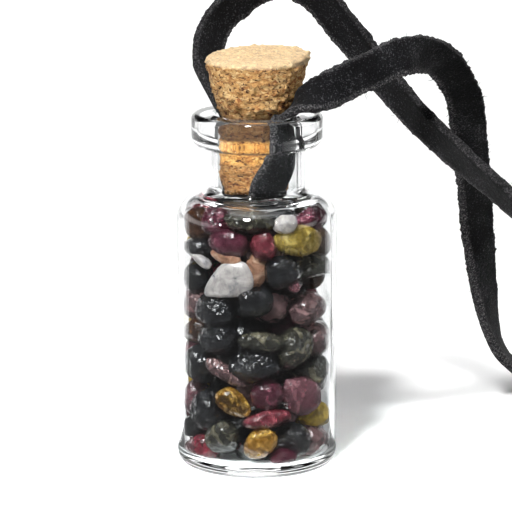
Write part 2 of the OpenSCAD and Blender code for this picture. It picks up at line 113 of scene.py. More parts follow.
RIGHT_ROUTE = [
    ((5.1, -5.5, 50.8), (-0.22, -0.87, -0.3), 1.1, 8, 3.9),
    ((7, -5.8, 51.9), (-0.2, -0.5, -0.8), 1.4, 30, 4.3),
    ((9.7, -5.6, 53), (-0.28, -0.1, -0.95)),
    ((12.5, -5, 54.3), (-0.2, 0, -0.98)),
    ((15.7, -4, 55.6), (-0.1, 0, -1)),
    ((18.2, -2.8, 56.7), (-0.1, -0.2, -0.95)),
    ((20.8, -1, 57.1), (-0.17, -0.3, -0.9)),
    ((23, 2, 56.7), (-0.4, -0.2, -0.8)),
    ((25.2, 5, 55.4), (-0.75, 0.1, -0.6)),
    ((27.2, 8, 52.8), (-0.86, 0, -0.42)),
    ((28.6, 10.5, 50), (-0.93, -0.06, -0.36)),
    ((29.5, 13, 46.5), (-0.97, 0, -0.15)),
    ((30.2, 16, 41.2), (-0.95, -0.2, -0.1)),
    ((30.8, 18, 37.4), (-0.92, -0.3, -0.12)),
    ((31.7, 22, 29.2), (-0.88, -0.42, -0.15)),
    ((32.3, 24, 24.3), (-0.77, -0.6, -0.18)),
    ((33.2, 27, 18.8), (-0.6, -0.8, -0.15)),
    ((34.5, 30.5, 12.6), (-0.33, -0.94, -0.1)),
    ((36.2, 34.5, 7.6), (0, -0.95, -0.3)),
    ((39, 39, 3.8), (0.35, -0.85, -0.3)),
    ((43, 45, 1.7), (0.6, -0.75, -0.1)),
    ((49.5, 52, 0.8), (0.65, -0.75, 0)),
    ((57.5, 58, 0.8), (0.55, -0.85, 0)),
    ((66, 62, 0.8), (0.35, -0.95, 0)),
    ((76, 64, 0.8), (0.1, -1, 0)),
    ((86, 63.5, 0.8), (-0.2, -1, 0)),
    ((95, 60, 0.8), (-0.5, -0.85, 0)),
    ((101.5, 54, 0.8), (-0.85, -0.6, 0)),
    ((105, 46.5, 0.8), (-1, -0.25, 0)),
    ((105.8, 40, 0.8), (-1, 0, 0)),
]


def route_row(point, across, thick=LACE_THICK, curl=FLAT_CURL, width=LACE_WIDTH):
    """One row of a route: place, way across, thickness, bend across the width, and width."""
    return [Vector(point), Vector(across), thick, 1 / curl, width]


print("route rows:", len(LEFT_ROUTE), "left and", len(RIGHT_ROUTE), "right")

# %% [markdown]
# In the neck the lace follows the bore, so its rows are worked out from the neck's own sizes, as turning
# angle, radius and height: down the back, round under the cork, and up the front.

# %% The stretch that the cork pinches
BOTTLE_TOP = 49.0
SEAT_RADIUS = 4.995
MOUTH_RADIUS = SEAT_RADIUS + 0.75
CORK_LOW = 38.5
CORK_ROUND = 0.5
TURN_AT = 3.75
TURN_RADIUS = 1.025
TURN_HEIGHT = CORK_LOW + CORK_ROUND
BEND_HEIGHT = BOTTLE_TOP - 0.6
MOUTH_HEIGHT = BOTTLE_TOP + 0.3
BACK_ANGLE = 142
FRONT_ANGLE = -40
FRONT_LOW_ANGLE = -72
UNDER_ANGLE = 125
UNDER_CURL = 40


def bore_row(angle, radius, height, curl, turned=0):
    """A row of the pinched stretch, at a turning angle round the bottle's axis."""
    a = math.radians(angle)
    b = math.radians(angle + turned)
    place = (radius * math.cos(a), radius * math.sin(a), height)
    return route_row(place, (-math.sin(b), math.cos(b), 0), PINCHED_THICK, curl)


def turn_row(angle, lean, turned):
    """A row where the lace turns under the cork's lower edge."""
    t = math.radians(lean)
    radius = TURN_AT + TURN_RADIUS * math.cos(t)
    height = TURN_HEIGHT - TURN_RADIUS * math.sin(t)
    return bore_row(angle, radius, height, SEAT_RADIUS + 12 * (lean / 90) ** 4, turned)


seat_rows = [bore_row(BACK_ANGLE, MOUTH_RADIUS, MOUTH_HEIGHT, MOUTH_RADIUS)]
for k in range(3):
    height = BEND_HEIGHT + k * (TURN_HEIGHT - BEND_HEIGHT) / 3
    seat_rows.append(bore_row(BACK_ANGLE, SEAT_RADIUS, height, SEAT_RADIUS))
for lean in (0, 30, 60, 90):
    seat_rows.append(turn_row(BACK_ANGLE, lean, lean / 9))
under_way = (-math.sin(math.radians(UNDER_ANGLE)), math.cos(math.radians(UNDER_ANGLE)), 0)
under_place = (-0.7, -0.2, TURN_HEIGHT - TURN_RADIUS)
seat_rows.append(route_row(under_place, under_way, PINCHED_THICK, UNDER_CURL))
for lean in (90, 60, 30, 0):
    seat_rows.append(turn_row(FRONT_LOW_ANGLE, lean, 180 - lean / 9))
for k in (1, 2, 3):
    angle = FRONT_ANGLE + (FRONT_LOW_ANGLE - FRONT_ANGLE) * (1 - k / 3) ** 2
    height = TURN_HEIGHT + k * (BEND_HEIGHT - TURN_HEIGHT) / 3
    seat_rows.append(bore_row(angle, SEAT_RADIUS, height, SEAT_RADIUS, 180))
seat_rows.append(bore_row(FRONT_ANGLE, MOUTH_RADIUS, MOUTH_HEIGHT, MOUTH_RADIUS, 180))

left_rows = [route_row(*row) for row in LEFT_ROUTE]
for row in left_rows:
    row[1] = -row[1]
right_rows = [route_row(*row) for row in RIGHT_ROUTE]
lace_rows = left_rows[::-1] + seat_rows + right_rows
print("rows along the whole lace:", len(lace_rows))

# %% [markdown]
# A curve through the rows gives a station about every fifth of a millimetre. Each one keeps its place, the
# way along, the way across, the thickness, the bend and the width, so that the strip twists and swells
# smoothly between the rows.

# %% Stations along a route
STATION_STEP = 0.22


def slopes_through(values, marks):
    """The slope at each row, weighted by the distance to its neighbours."""
    slopes = []
    last = len(values) - 1
    for i in range(last + 1):
        if i == 0:
            slopes.append((values[1] - values[0]) / (marks[1] - marks[0]))
        elif i == last:
            slopes.append((values[i] - values[i - 1]) / (marks[i] - marks[i - 1]))
        else:
            before = marks[i] - marks[i - 1]
            after = marks[i + 1] - marks[i]
            rise_before = (values[i] - values[i - 1]) / before
            rise_after = (values[i + 1] - values[i]) / after
            slopes.append((rise_before * after + rise_after * before) / (before + after))
    return slopes


def between(values, slopes, marks, i, share):
    """The smooth value at a share of the way from row i to row i + 1."""
    gap = marks[i + 1] - marks[i]
    s = share
    return (
        values[i] * (2 * s**3 - 3 * s**2 + 1)
        + slopes[i] * (gap * (s**3 - 2 * s**2 + s))
        + values[i + 1] * (3 * s**2 - 2 * s**3)
        + slopes[i + 1] * (gap * (s**3 - s**2))
    )


def stations_along(rows):
    """The stations on a smooth curve through the rows, and the number of each row's own station."""
    marks = [0.0]
    for a, b in zip(rows, rows[1:]):
        marks.append(marks[-1] + (b[0] - a[0]).length)
    columns = [[row[c] for row in rows] for c in range(5)]
    slopes = [slopes_through(column, marks) for column in columns]
    found = []
    row_numbers = []
    for i in range(len(rows) - 1):
        row_numbers.append(len(found))
        pieces = max(1, round((marks[i + 1] - marks[i]) / STATION_STEP))
        for k in range(pieces):
            found.append([between(columns[c], slopes[c], marks, i, k / pieces) for c in range(5)])
    row_numbers.append(len(found))
    found.append([columns[c][-1] for c in range(5)])
    stations = []
    along = 0.0
    for k, (point, across, thick, bend, width) in enumerate(found):
        way = (found[min(k + 1, len(found) - 1)][0] - found[max(k - 1, 0)][0]).normalized()
        across = (across - across.dot(way) * way).normalized()
        along += (point - found[max(k - 1, 0)][0]).length
        stations.append((along, point, way, across, thick, bend, width))
    return stations, row_numbers


stations, row_numbers = stations_along(lace_rows)
left_mouth = row_numbers[len(left_rows)]
right_mouth = row_numbers[len(left_rows) + len(seat_rows) - 1]
left_stations = stations[: left_mouth + 1]
seat_stations = stations[left_mouth : right_mouth + 1]
right_stations = stations[right_mouth:]
for name, part in (("left", left_stations), ("seat", seat_stations), ("right", right_stations)):
    print(name, "stretch:", round(part[-1][0] - part[0][0], 1), "mm in", len(part), "stations")

# %% [markdown]
# Leather cut by hand is never quite even. The strip's width and thickness wander slowly, its faces have
# shallow dents, and its cut edges are crumbly. A flat grid is wrapped into a tube round the stations and
# every point is pushed a little by noise. In the neck the strip is pressed smooth, so the noise fades.

# %% The strip of leather as a mesh
WIDTH_WANDER = 0.16
WIDTH_RIPPLE = 0.05
EDGE_CRUMBS = 0.28
EDGE_GRIT = 0.24
FACE_DENTS = 0.1
FACE_GRAIN = 0.03
STRIP_WAVE = 0.14
EDGE_WEAR = 0.1
SEAM_WELD = 1e-8
FACE_SHARES = [-0.93 + 1.86 * k / 12 for k in range(13)]
LACE_OUTLINE = (
    [(share, 1.0) for share in FACE_SHARES]
    + [(0.985, 0.9), (1.0, 0.62), (1.0, 0.2), (1.0, -0.2), (1.0, -0.62), (0.985, -0.9)]
    + [(share, -1.0) for share in FACE_SHARES[::-1]]
    + [(-0.985, -0.9), (-1.0, -0.62), (-1.0, -0.2), (-1.0, 0.2), (-1.0, 0.62), (-0.985, 0.9)]
)


def wander(along, across, side, size):
    """Smooth noise between about -1 and 1 on the strip, with features of the given size in mm."""
    return noise.noise(Vector((along / size, across / size, side / size + 17.3)))


def lace_point(station, share, side):
    """The place of one point of the strip's outline at a station, in mm."""
    along, point, way, across, thick, bend, width = station
    face = way.cross(across)
    free = min(1.0, max(0.0, (thick - PINCHED_THICK) / (LACE_THICK - PINCHED_THICK)))
    edge = max(0.0, abs(share) - 0.9) / 0.1
    sideways = share * width / 2
    widening = WIDTH_WANDER * wander(along, 0, 3 * share, 6) + WIDTH_RIPPLE * wander(along, 3, share, 2)
    sideways += share * free * widening
    sideways += share * free * edge * EDGE_CRUMBS * wander(along, 5 * share, 1.4 * side, 0.75)
    sideways += share * free * edge * EDGE_GRIT * wander(along, 3 * share, 2.2 * side, 0.38)
    height = side * thick / 2
    across_at = share * 2.5
    dents = FACE_DENTS * wander(along, across_at, 9, 3.5) + FACE_GRAIN * wander(along, across_at, 2, 0.8)
    height += side * free * dents
    height += free * STRIP_WAVE * wander(along, across_at, 4, 9)
    height -= side * free * edge * EDGE_WEAR * (1 + wander(along, 8 * share, side, 1.1))
    if abs(bend) < 0.001:
        return point + face * height + across * sideways
    radius = 1 / bend
    angle = sideways / radius
    out = (radius + height) * math.cos(angle) - radius
    return point + face * out + across * (radius + height) * math.sin(angle)


def strip_mesh(bm, stations, with_layer):
    """Wraps a flat grid round the stations, closes its seam and fills its two ends."""
    columns = len(LACE_OUTLINE)
    rows = len(stations) - 1
    made = bmesh.ops.create_grid(bm, x_segments=columns, y_segments=rows, size=1)["verts"]
    for vert in made:
        column = round((vert.co.x + 1) / 2 * columns) % columns
        station = stations[round((vert.co.y + 1) / 2 * rows)]
        share, side = LACE_OUTLINE[column]
        vert[with_layer] = (station[0] * MM, share, side)
        vert.co = lace_point(station, share, side) * MM
    bmesh.ops.remove_doubles(bm, verts=made, dist=SEAM_WELD)
    rims = [e for e in bm.edges if e.is_boundary]
    bmesh.ops.holes_fill(bm, edges=rims, sides=0)


def finished_piece(name, bm, body):
    """Turns a bmesh into a piece that rides on a body, with nothing of it below the floor."""
    for vert in bm.verts:
        vert.co.z = max(vert.co.z, 0.0)
    bmesh.ops.recalc_face_normals(bm, faces=bm.faces)
    mesh = bpy.data.meshes.new(name)
    bm.to_mesh(mesh)
    bm.free()
    for polygon in mesh.polygons:
        polygon.use_smooth = True
    piece = bpy.data.objects.new(name, mesh)
    scene.collection.objects.link(piece)
    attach(piece, body)
    print(name, "has", len(mesh.polygons), "faces")
    return piece


def lace_strip(name, stations):
    """One stretch of the lace as a finished piece."""
    bm = bmesh.new()
    layer = bm.verts.layers.float_vector.new("lace")
    strip_mesh(bm, stations, layer)
    return finished_piece(name, bm, "bottle")


lace_left = lace_strip("lace_left_strand", left_stations)
lace_right = lace_strip("lace_right_strand", right_stations)
lace_seat = lace_strip("lace_pinched", seat_stations)
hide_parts("lace_left")
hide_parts("lace_right")
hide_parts("lace_seat")

# %% [markdown]
# The two ends are tied together in one overhand knot, and both tails stick out beside it. In a knot the
# strip folds and narrows, so each turn is a short strip with its own thinner rows.

# %% The knot and its tails
KNOT_CENTRE = Vector((105.8, 33, 0))
KNOT_TURNS = [
    [
        ((0, -7, 0.85), (-1, 0, 0), 1.4, 60, 5.0),
        ((0.2, -4.9, 1.3), (-1, 0, 0.1), 1.4, 20, 4.6),
        ((0.8, -3.0, 2.9), (-1, -0.2, 0.2), 1.3, 9, 3.9),
        ((1.1, -0.6, 4.3), (-0.95, -0.3, 0.1), 1.2, 7, 3.7),
        ((0.4, 1.7, 4.2), (-0.75, -0.6, 0), 1.2, 7, 3.6),
        ((-1.4, 3.2, 2.9), (-0.6, -0.8, -0.1), 1.3, 9, 3.6),
        ((-3.4, 3.1, 1.4), (-0.2, -1, 0), 1.4, 20, 3.8),
        ((-6, 2.8, 0.85), (0, -1, 0), 1.4, 60, 4.2),
        ((-9.5, 2.9, 0.85), (0.05, -1, 0), 1.4, 60, 4.5),
        ((-12.7, 3.2, 0.85), (0.1, -1, 0), 1.4, 60, 4.6),
    ],
    [
        ((0, 7, 0.85), (-1, 0, 0), 1.4, 60, 5.0),
        ((0.5, 4.8, 1.1), (-1, -0.1, 0), 1.4, 20, 4.5),
        ((1.9, 2.8, 1.9), (-0.8, -0.6, 0.1), 1.3, 9, 3.8),
        ((2.9, 0.3, 2.6), (-0.4, 0, 0.9), 1.2, 7, 3.6),
        ((2.5, -2.2, 2.8), (0.2, 0.3, 0.9), 1.2, 7, 3.5),
        ((0.6, -3.6, 2.6), (0, 0.3, 0.95), 1.2, 7, 3.4),
        ((-1.8, -3.4, 1.9), (0.1, 0.7, 0.7), 1.3, 9, 3.4),
        ((-4.0, -2.7, 1.1), (0, 1, 0.2), 1.4, 20, 3.8),
        ((-6.5, -2.4, 0.85), (0, 1, 0), 1.4, 60, 4.3),
        ((-9.5, -2.5, 0.85), (-0.05, 1, 0), 1.4, 60, 4.5),
        ((-12.4, -2.3, 0.85), (-0.1, 1, 0), 1.4, 60, 4.6),
    ],
    [
        ((-2.5, 1.8, 1.3), (0.2, 1, 0.1), 1.2, 9, 3.0),
        ((-2.9, 0.6, 2.9), (0.1, 1, 0.1), 1.2, 7, 3.3),
        ((-1.7, -0.5, 4.4), (-0.2, 1, 0.1), 1.2, 6, 3.5),
        ((0.2, -1.4, 4.7), (-0.35, 1, 0), 1.2, 6, 3.5),
        ((2.2, -1.6, 3.9), (-0.1, 1, 0), 1.2, 6, 3.4),
        ((3.3, -1.2, 2.4), (0, 1, 0), 1.2, 7, 3.2),
        ((2.6, -0.9, 1.1), (0, 1, 0), 1.2, 9, 3.0),
    ],
]


def knot_piece():
    """The turns of the knot and its two tails, as one piece."""
    bm = bmesh.new()
    layer = bm.verts.layers.float_vector.new("lace")
    for turn in KNOT_TURNS:
        rows = [route_row(*row) for row in turn]
        for row in rows:
            row[0] = row[0] + KNOT_CENTRE
        turn_stations, _ = stations_along(rows)
        strip_mesh(bm, turn_stations, layer)
    return finished_piece("lace_overhand_knot", bm, "bottle")


knot = knot_piece()
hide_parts("lace_knot")

# %% [markdown]
# Stray fibres stand off the cut edges of the leather, and a few off its faces. Each is a thin bent needle
# that grows out of the strip, and all the fibres of one strand are one small piece.

# %% Stray fibres
FIBRE_SIDES = 3
FIBRE_STEPS = 4
FIBRE_BEND = 0.55
FIBRE_THINNING = 0.8
FIBRE_SHORTEST = 0.3
FIBRE_LONGER_BY = 0.9
FIBRE_THINNEST = 0.035
FIBRE_THICKER_BY = 0.03
FIBRE_ROOT = 0.1
FIBRES_EACH = 420


def grow_fibre(bm, root, way, length, thick):
    """A needle from three points, drawn out in bent steps that get thinner."""
    ring = bmesh.ops.create_circle(bm, segments=FIBRE_SIDES, radius=thick, cap_ends=True)["verts"]
    turn = way.to_track_quat("Z", "Y").to_matrix()
    bmesh.ops.rotate(bm, verts=ring, cent=(0, 0, 0), matrix=turn)
    bmesh.ops.translate(bm, verts=ring, vec=root)
    edges = list({e for v in ring for e in v.link_edges})
    middle = root.copy()
    for _ in range(FIBRE_STEPS):
        bend = noise.random_vector() * FIBRE_BEND
        step = (way + bend).normalized() * length / FIBRE_STEPS
        grown = bmesh.ops.extrude_edge_only(bm, edges=edges)["geom"]
        tips = [g for g in grown if isinstance(g, bmesh.types.BMVert)]
        edges = [g for g in grown if isinstance(g, bmesh.types.BMEdge)]
        bmesh.ops.translate(bm, verts=tips, vec=step)
        middle += step
        for tip in tips:
            tip.co = middle + (tip.co - middle) * FIBRE_THINNING
    bmesh.ops.holes_fill(bm, edges=edges, sides=0)


def fibres_on(name, stations, count, seed):
    """Fibres spread over a strand, most of them on its cut edges."""
    noise.seed_set(seed)
    bm = bmesh.new()
    bm.verts.layers.float_vector.new("lace")
    for _ in range(count):
        place = 0.02 + 0.96 * noise.random()
        station = stations[int(place * (len(stations) - 1))]
        edge = 1 if noise.random() > 0.5 else -1
        share = edge * (1 if noise.random() < 0.8 else noise.random())
        side = 2 * noise.random() - 1
        root = lace_point(station, share, side) * MM
        out = station[3] * edge + station[2].cross(station[3]) * side * 0.8
        way = (out + station[2] * (2 * noise.random() - 1)).normalized()
        length = (FIBRE_SHORTEST + FIBRE_LONGER_BY * noise.random() ** 3) * MM
        thick = (FIBRE_THINNEST + FIBRE_THICKER_BY * noise.random()) * MM
        grow_fibre(bm, root - way * FIBRE_ROOT * MM, way, length, thick)
    return finished_piece(name, bm, "bottle")


left_fibres = fibres_on("lace_left_fibres", left_stations, FIBRES_EACH, seed=11)
right_fibres = fibres_on("lace_right_fibres", right_stations, FIBRES_EACH, seed=12)

# %% [markdown]
# Both strands end in the knot.

# %% [markdown]
# A finish is a small graph of shader nodes. A few helpers keep the graphs short: they start a finish, add
# a node and fill its inputs, and make noise, ramps, blends and bumps. Colours are given as a maker reads
# them from a screen, from 0 to 255, and are turned into light here.

# %% Helpers for finishes


def shade(red, green, blue):
    """A screen colour as the amount of light that Blender works with."""
    light = []
    for value in (red / 255, green / 255, blue / 255):
        light.append(((value + 0.055) / 1.055) ** 2.4 if value > 10 / 255 else value / 12.92)
    return tuple(light)


def feed(tree, node, inputs):
    """Fills a node's inputs. One that is another node's output is joined, and any other is set."""
    for key, value in inputs.items():
        if isinstance(value, bpy.types.NodeSocket):
            tree.links.new(value, node.inputs[key])
        else:
            node.inputs[key].default_value = value


def add(tree, kind, inputs=None, **settings):
    """Adds a node with its settings and inputs."""
    node = tree.nodes.new(kind)
    for key, value in settings.items():
        setattr(node, key, value)
    feed(tree, node, inputs or {})
    return node


def start_finish(name):
    """A new material, its node tree, its surface shader and a point's place on its own piece."""
    finish = bpy.data.materials.new(name)
    finish.use_nodes = True
    tree = finish.node_tree
    place = add(tree, "ShaderNodeTexCoord").outputs["Object"]
    return finish, tree, tree.nodes["Principled BSDF"], place


def clouds(tree, place, scale, detail=2.0, roughness=0.5, distortion=0.0):
    """Soft noise over a place. A larger scale makes it finer."""
    inputs = {"Vector": place, "Scale": scale, "Detail": detail, "Roughness": roughness}
    return add(tree, "ShaderNodeTexNoise", {**inputs, "Distortion": distortion})


def stretch(tree, value, low, high, to_low=0.0, to_high=1.0):
    """A number moved from one range to another, and held inside it."""
    inputs = {"Value": value, "From Min": low, "From Max": high, "To Min": to_low, "To Max": to_high}
    return add(tree, "ShaderNodeMapRange", inputs).outputs["Result"]


def reckon(tree, how, *values):
    """One step of arithmetic on one to three numbers."""
    return add(tree, "ShaderNodeMath", dict(enumerate(values)), operation=how).outputs[0]


def ramp(tree, value, stops):
    """A colour ramp over a value, with stops of (place, colour)."""
    node = add(tree, "ShaderNodeValToRGB", {"Fac": value})
    elements = node.color_ramp.elements
    while len(elements) < len(stops):
        elements.new(0.5)
    for element, (place, colour) in zip(elements, stops):
        element.position = place
        element.color = (*colour, 1)
    return node.outputs["Color"]


def blend_colours(tree, factor, one, other, how="MIX"):
    """A mix of two colours by a factor."""
    node = add(tree, "ShaderNodeMix", {0: factor, 6: one, 7: other}, data_type="RGBA", blend_type=how)
    return node.outputs[2]


def bumped(tree, height, strength, distance):
    """The way that a surface faces, made uneven by a height."""
    inputs = {"Height": height, "Strength": strength, "Distance": distance}
    return add(tree, "ShaderNodeBump", inputs).outputs["Normal"]


print("helpers ready")

# %% [markdown]
# The leather is nearly black and matt, with a fine grain of pores and a few pale flecks, which gather in
# patches that also stand in for painted sheen. Its cut edges are dusty grey crumbs, and on one side of
# each strand the bare core also shows beside the edge. That side changes over in the neck. The strip's own
# coordinates say how far along the lace a point lies and how near an edge, so the dust follows the lace
# through every twist.

# %% Black leather
SIDE_CHANGES_FROM = 185 * MM
SIDE_CHANGES_TO = 195 * MM


def leather_finish():
    """Matt black grain, flecks and painted sheen on the faces, and dusty grey crumbs on the cut edges."""
    finish, tree, surface, place = start_finish("black_leather")
    strip = add(tree, "ShaderNodeAttribute", attribute_name="lace").outputs["Vector"]
    parts = add(tree, "ShaderNodeSeparateXYZ", {"Vector": strip}).outputs
    edge = stretch(tree, reckon(tree, "ABSOLUTE", parts["Y"]), 0.9, 1.0)
    grain = clouds(tree, place, 2600, 4, 0.6).outputs
    cloud = clouds(tree, place, 260, 3).outputs
    crumbs = clouds(tree, place, 4200, 2, 0.7).outputs
    blacks = [(0.35, shade(5, 5, 6)), (0.55, shade(11, 11, 13)), (0.75, shade(22, 22, 24))]
    base = ramp(tree, cloud["Fac"], blacks)
    pores = ramp(tree, grain["Fac"], [(0.4, shade(120, 120, 122)), (0.62, shade(255, 255, 255))])
    worn = blend_colours(tree, 0.6, base, pores, "MULTIPLY")
    # Pale flecks, gathered in patches that are partly painted sheen.
    fleck_and_sheen_patches = reckon(tree, "MULTIPLY_ADD", cloud["Fac"], 0.3, crumbs["Fac"])
    greys = [(0.68, (0.0, 0.0, 0.0)), (0.76, shade(30, 30, 32)), (0.84, shade(74, 73, 75))]
    flecks_and_painted_sheen = ramp(tree, fleck_and_sheen_patches, greys)
    face = blend_colours(tree, 0.7, worn, flecks_and_painted_sheen, "ADD")
    dusts = [(0.42, shade(24, 24, 25)), (0.54, shade(62, 61, 63)), (0.68, shade(122, 119, 118))]
    dust = ramp(tree, crumbs["Fac"], dusts)
    which_strand = stretch(tree, parts["X"], SIDE_CHANGES_FROM, SIDE_CHANGES_TO, -1.0, 1.0)
    bare_side = reckon(tree, "MULTIPLY", parts["Y"], which_strand)
    bare = stretch(tree, bare_side, 0.62, 0.86, 0.0, 0.75)
    dusty = reckon(tree, "MULTIPLY", edge, 0.3)
    raw = reckon(tree, "MAXIMUM", bare, dusty)
    height = blend_colours(tree, edge, grain["Color"], crumbs["Color"])
    settings = {
        "Base Color": blend_colours(tree, raw, face, dust),
        "Roughness": stretch(tree, grain["Fac"], 0.0, 1.0, 0.6, 0.95),
        "Normal": bumped(tree, height, 0.8, 0.0002),
        "Specular IOR Level": 0.12,
        "Sheen Weight": 0.03,
        "Sheen Roughness": 0.5,
    }
    feed(tree, surface, settings)
    return finish


def dress(piece, finish):
    """Gives a piece its finish."""
    piece.data.materials.clear()
    piece.data.materials.append(finish)


black_leather = leather_finish()
for piece in (lace_left, lace_right, lace_seat, knot, left_fibres, right_fibres):
    dress(piece, black_leather)
print("leather dressed on 6 pieces")

# %% [markdown]
# The bottle is blown glass: a foot ring round a pushed-up base, a straight body, a rounded shoulder, a
# neck and a thick lip ring. A spin turns half of its outline, wall thickness included, round the axis.

# %% Glass bottle outline and spin, in millimetres
BODY_RADIUS = 11.0
WALL = 0.8
HEEL_ROUND = 1.6
FOOT_WIDTH = 0.9
PUSH_UP = 0.5
FLOOR_HEIGHT = 1.4
FLOOR_ROUND = 1.4
SHOULDER_ROUND = 3.4
SHOULDER_HEIGHT = 37.8
BORE_RADIUS = 5.4
NECK_RADIUS = 6.6
LIP_RADIUS = 9.0
LIP_BASE = 44.4
LIP_LOW_ROUND = 1.6
LIP_TOP_ROUND = 0.8
MOUTH_ROUND = 1.0
LIP_FILLET = 0.4
BEND_RADIUS = BODY_RADIUS - SHOULDER_ROUND
INNER_RADIUS = BODY_RADIUS - WALL
NECK_FILLET = BEND_RADIUS - NECK_RADIUS
THROAT_ROUND = BEND_RADIUS - BORE_RADIUS


def arc(centre, radius, start, end, steps=12):
    """Points along a round stretch of an outline, angles in degrees."""
    points = []
    for k in range(steps + 1):
        angle = math.radians(start + (end - start) * k / steps)
        points.append((centre[0] + radius * math.cos(angle), centre[1] + radius * math.sin(angle)))
    return points


def foot_dome(steps=10):
    """The pushed-up middle of the base, from the axis out to the foot ring."""
    rim = BODY_RADIUS - HEEL_ROUND - FOOT_WIDTH
    return [(rim * k / steps, PUSH_UP * (1 - (k / steps) ** 2)) for k in range(steps + 1)]


glass_outline = (
    foot_dome()
    + arc((BODY_RADIUS - HEEL_ROUND, HEEL_ROUND), HEEL_ROUND, -90, 0)
    + arc((BEND_RADIUS, SHOULDER_HEIGHT - SHOULDER_ROUND), SHOULDER_ROUND, 0, 90, 16)
    + arc((BEND_RADIUS, SHOULDER_HEIGHT + NECK_FILLET), NECK_FILLET, 270, 180)
    + arc((NECK_RADIUS + LIP_FILLET, LIP_BASE - LIP_FILLET), LIP_FILLET, 180, 90, 6)
    + arc((LIP_RADIUS - LIP_LOW_ROUND, LIP_BASE + LIP_LOW_ROUND), LIP_LOW_ROUND, -90, 0)
    + arc((LIP_RADIUS - LIP_TOP_ROUND, BOTTLE_TOP - LIP_TOP_ROUND), LIP_TOP_ROUND, 0, 90)
    + arc((BORE_RADIUS + MOUTH_ROUND, BOTTLE_TOP - MOUTH_ROUND), MOUTH_ROUND, 90, 180)
    + arc((BEND_RADIUS, SHOULDER_HEIGHT - WALL + THROAT_ROUND), THROAT_ROUND, 180, 270)
    + arc((BEND_RADIUS, SHOULDER_HEIGHT - SHOULDER_ROUND), SHOULDER_ROUND - WALL, 90, 0, 16)
    + arc((INNER_RADIUS - FLOOR_ROUND, FLOOR_HEIGHT + FLOOR_ROUND), FLOOR_ROUND, 0, -90)
    + [(0, FLOOR_HEIGHT)]
)
GLASS_TURNS = 160
GLASS_WAVE = 0.03
WAVE_SIZE = 7
WAVY_OUTSIDE = 5.6
SPIN_WELD = 1e-7


def spun(bm, outline, turns):
    """Spins an outline in the XZ plane all the way round the Z axis."""
    verts = [bm.verts.new((r * MM, 0, z * MM)) for r, z in outline]
    edges = [bm.edges.new(pair) for pair in zip(verts, verts[1:])]
    bmesh.ops.spin(
        bm,
        geom=verts + edges,
        cent=(0, 0, 0),
        axis=(0, 0, 1),
        angle=2 * math.pi,
        steps=turns,
        use_merge=True,
    )
    bmesh.ops.remove_doubles(bm, verts=bm.verts, dist=SPIN_WELD)


def glass_piece():
    """The bottle, with the faint unevenness that blown glass has."""
    bm = bmesh.new()
    spun(bm, glass_outline, GLASS_TURNS)
    for vert in bm.verts:
        wave = noise.noise(vert.co / MM / WAVE_SIZE) * GLASS_WAVE * MM
        radius = Vector((vert.co.x, vert.co.y, 0))
        if radius.length > WAVY_OUTSIDE * MM:
            vert.co += radius.normalized() * wave
    return finished_piece("blown_glass", bm, "bottle")


glass = glass_piece()
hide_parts("glass_bottle")

# %% [markdown]
# Clear glass bends and mirrors the light. A lamp's light would not get through it to the stones inside in
# a short render, so a shadow ray is let through with a slight tint instead.

# %% Clear glass


def glass_finish():
    """Clear glass that lets the lamps' light through to what is inside."""
    finish, tree, surface, place = start_finish("clear_glass")
    streaks = clouds(tree, place, 120).outputs["Fac"]
    settings = {
        "Base Color": ramp(tree, streaks, [(0.3, (0.97, 0.985, 0.99)), (0.7, (0.995, 1.0, 1.0))]),
        "Roughness": stretch(tree, streaks, 0.0, 1.0, 0.0, 0.02),
        "Normal": bumped(tree, streaks, 0.1, 0.0002),
        "Transmission Weight": 1.0,
        "IOR": 1.5,
    }
    feed(tree, surface, settings)
    through = add(tree, "ShaderNodeBsdfTransparent", {"Color": (0.93, 0.95, 0.95, 1)})
    lamp_ray = add(tree, "ShaderNodeLightPath").outputs["Is Shadow Ray"]
    both = add(tree, "ShaderNodeMixShader", {0: lamp_ray, 1: surface.outputs[0], 2: through.outputs[0]})
    feed(tree, tree.nodes["Material Output"], {"Surface": both.outputs[0]})
    return finish


clear_glass = glass_finish()
dress(glass, clear_glass)
print("glass dressed")

# %% [markdown]
# The cork is pressed from grains of bark. It is a tapered plug: the part above the mouth swells out, and
# the part in the neck is squeezed against the glass, except where the lace takes the room. The outline is
# spun with short steps, and then noise digs pits between the grains.

# %% Cork outline, spin and pits
CORK_TOP = 56.5
CORK_TOP_RADIUS = 7.0
CORK_NECK_RADIUS = 4.47
CORK_LOW_RADIUS = 4.25
CORK_TURNS = 190
CORK_STEP = 0.24
CORK_TILT = 0.045
CORK_LEAN = 0.05
CORK_RISE = 0.5
CORK_BULGE = 0.62
BULGE_FROM = (172, 190)
BULGE_TO = (238, 256)
DEEPEST_PIT = 0.45
TOP_PIT_SHARE = 0.85


def fine_line(points, step):
    """The same outline with points no further apart than the step."""
    line = [points[0]]
    for (r0, z0), (r1, z1) in zip(points, points[1:]):
        pieces = max(1, math.ceil(math.hypot(r1 - r0, z1 - z0) / step))
        for k in range(1, pieces + 1):
            line.append((r0 + (r1 - r0) * k / pieces, z0 + (z1 - z0) * k / pieces))
    return line


cork_outline = fine_line(
    [(0, CORK_LOW)]
    + arc((CORK_LOW_RADIUS - CORK_ROUND, CORK_LOW + CORK_ROUND), CORK_ROUND, -90, 0, 4)
    + [
        (CORK_NECK_RADIUS, BOTTLE_TOP - 0.9),
        (CORK_NECK_RADIUS + 0.02, BOTTLE_TOP - 0.5),
        (CORK_NECK_RADIUS + 0.62, BOTTLE_TOP + 0.5),
        (CORK_NECK_RADIUS + 1.1, BOTTLE_TOP + 1.4),
    ]
    + arc((CORK_TOP_RADIUS - CORK_ROUND, CORK_TOP - CORK_ROUND), CORK_ROUND, 0, 90, 4)
    + [(0, CORK_TOP)],
    CORK_STEP,
)


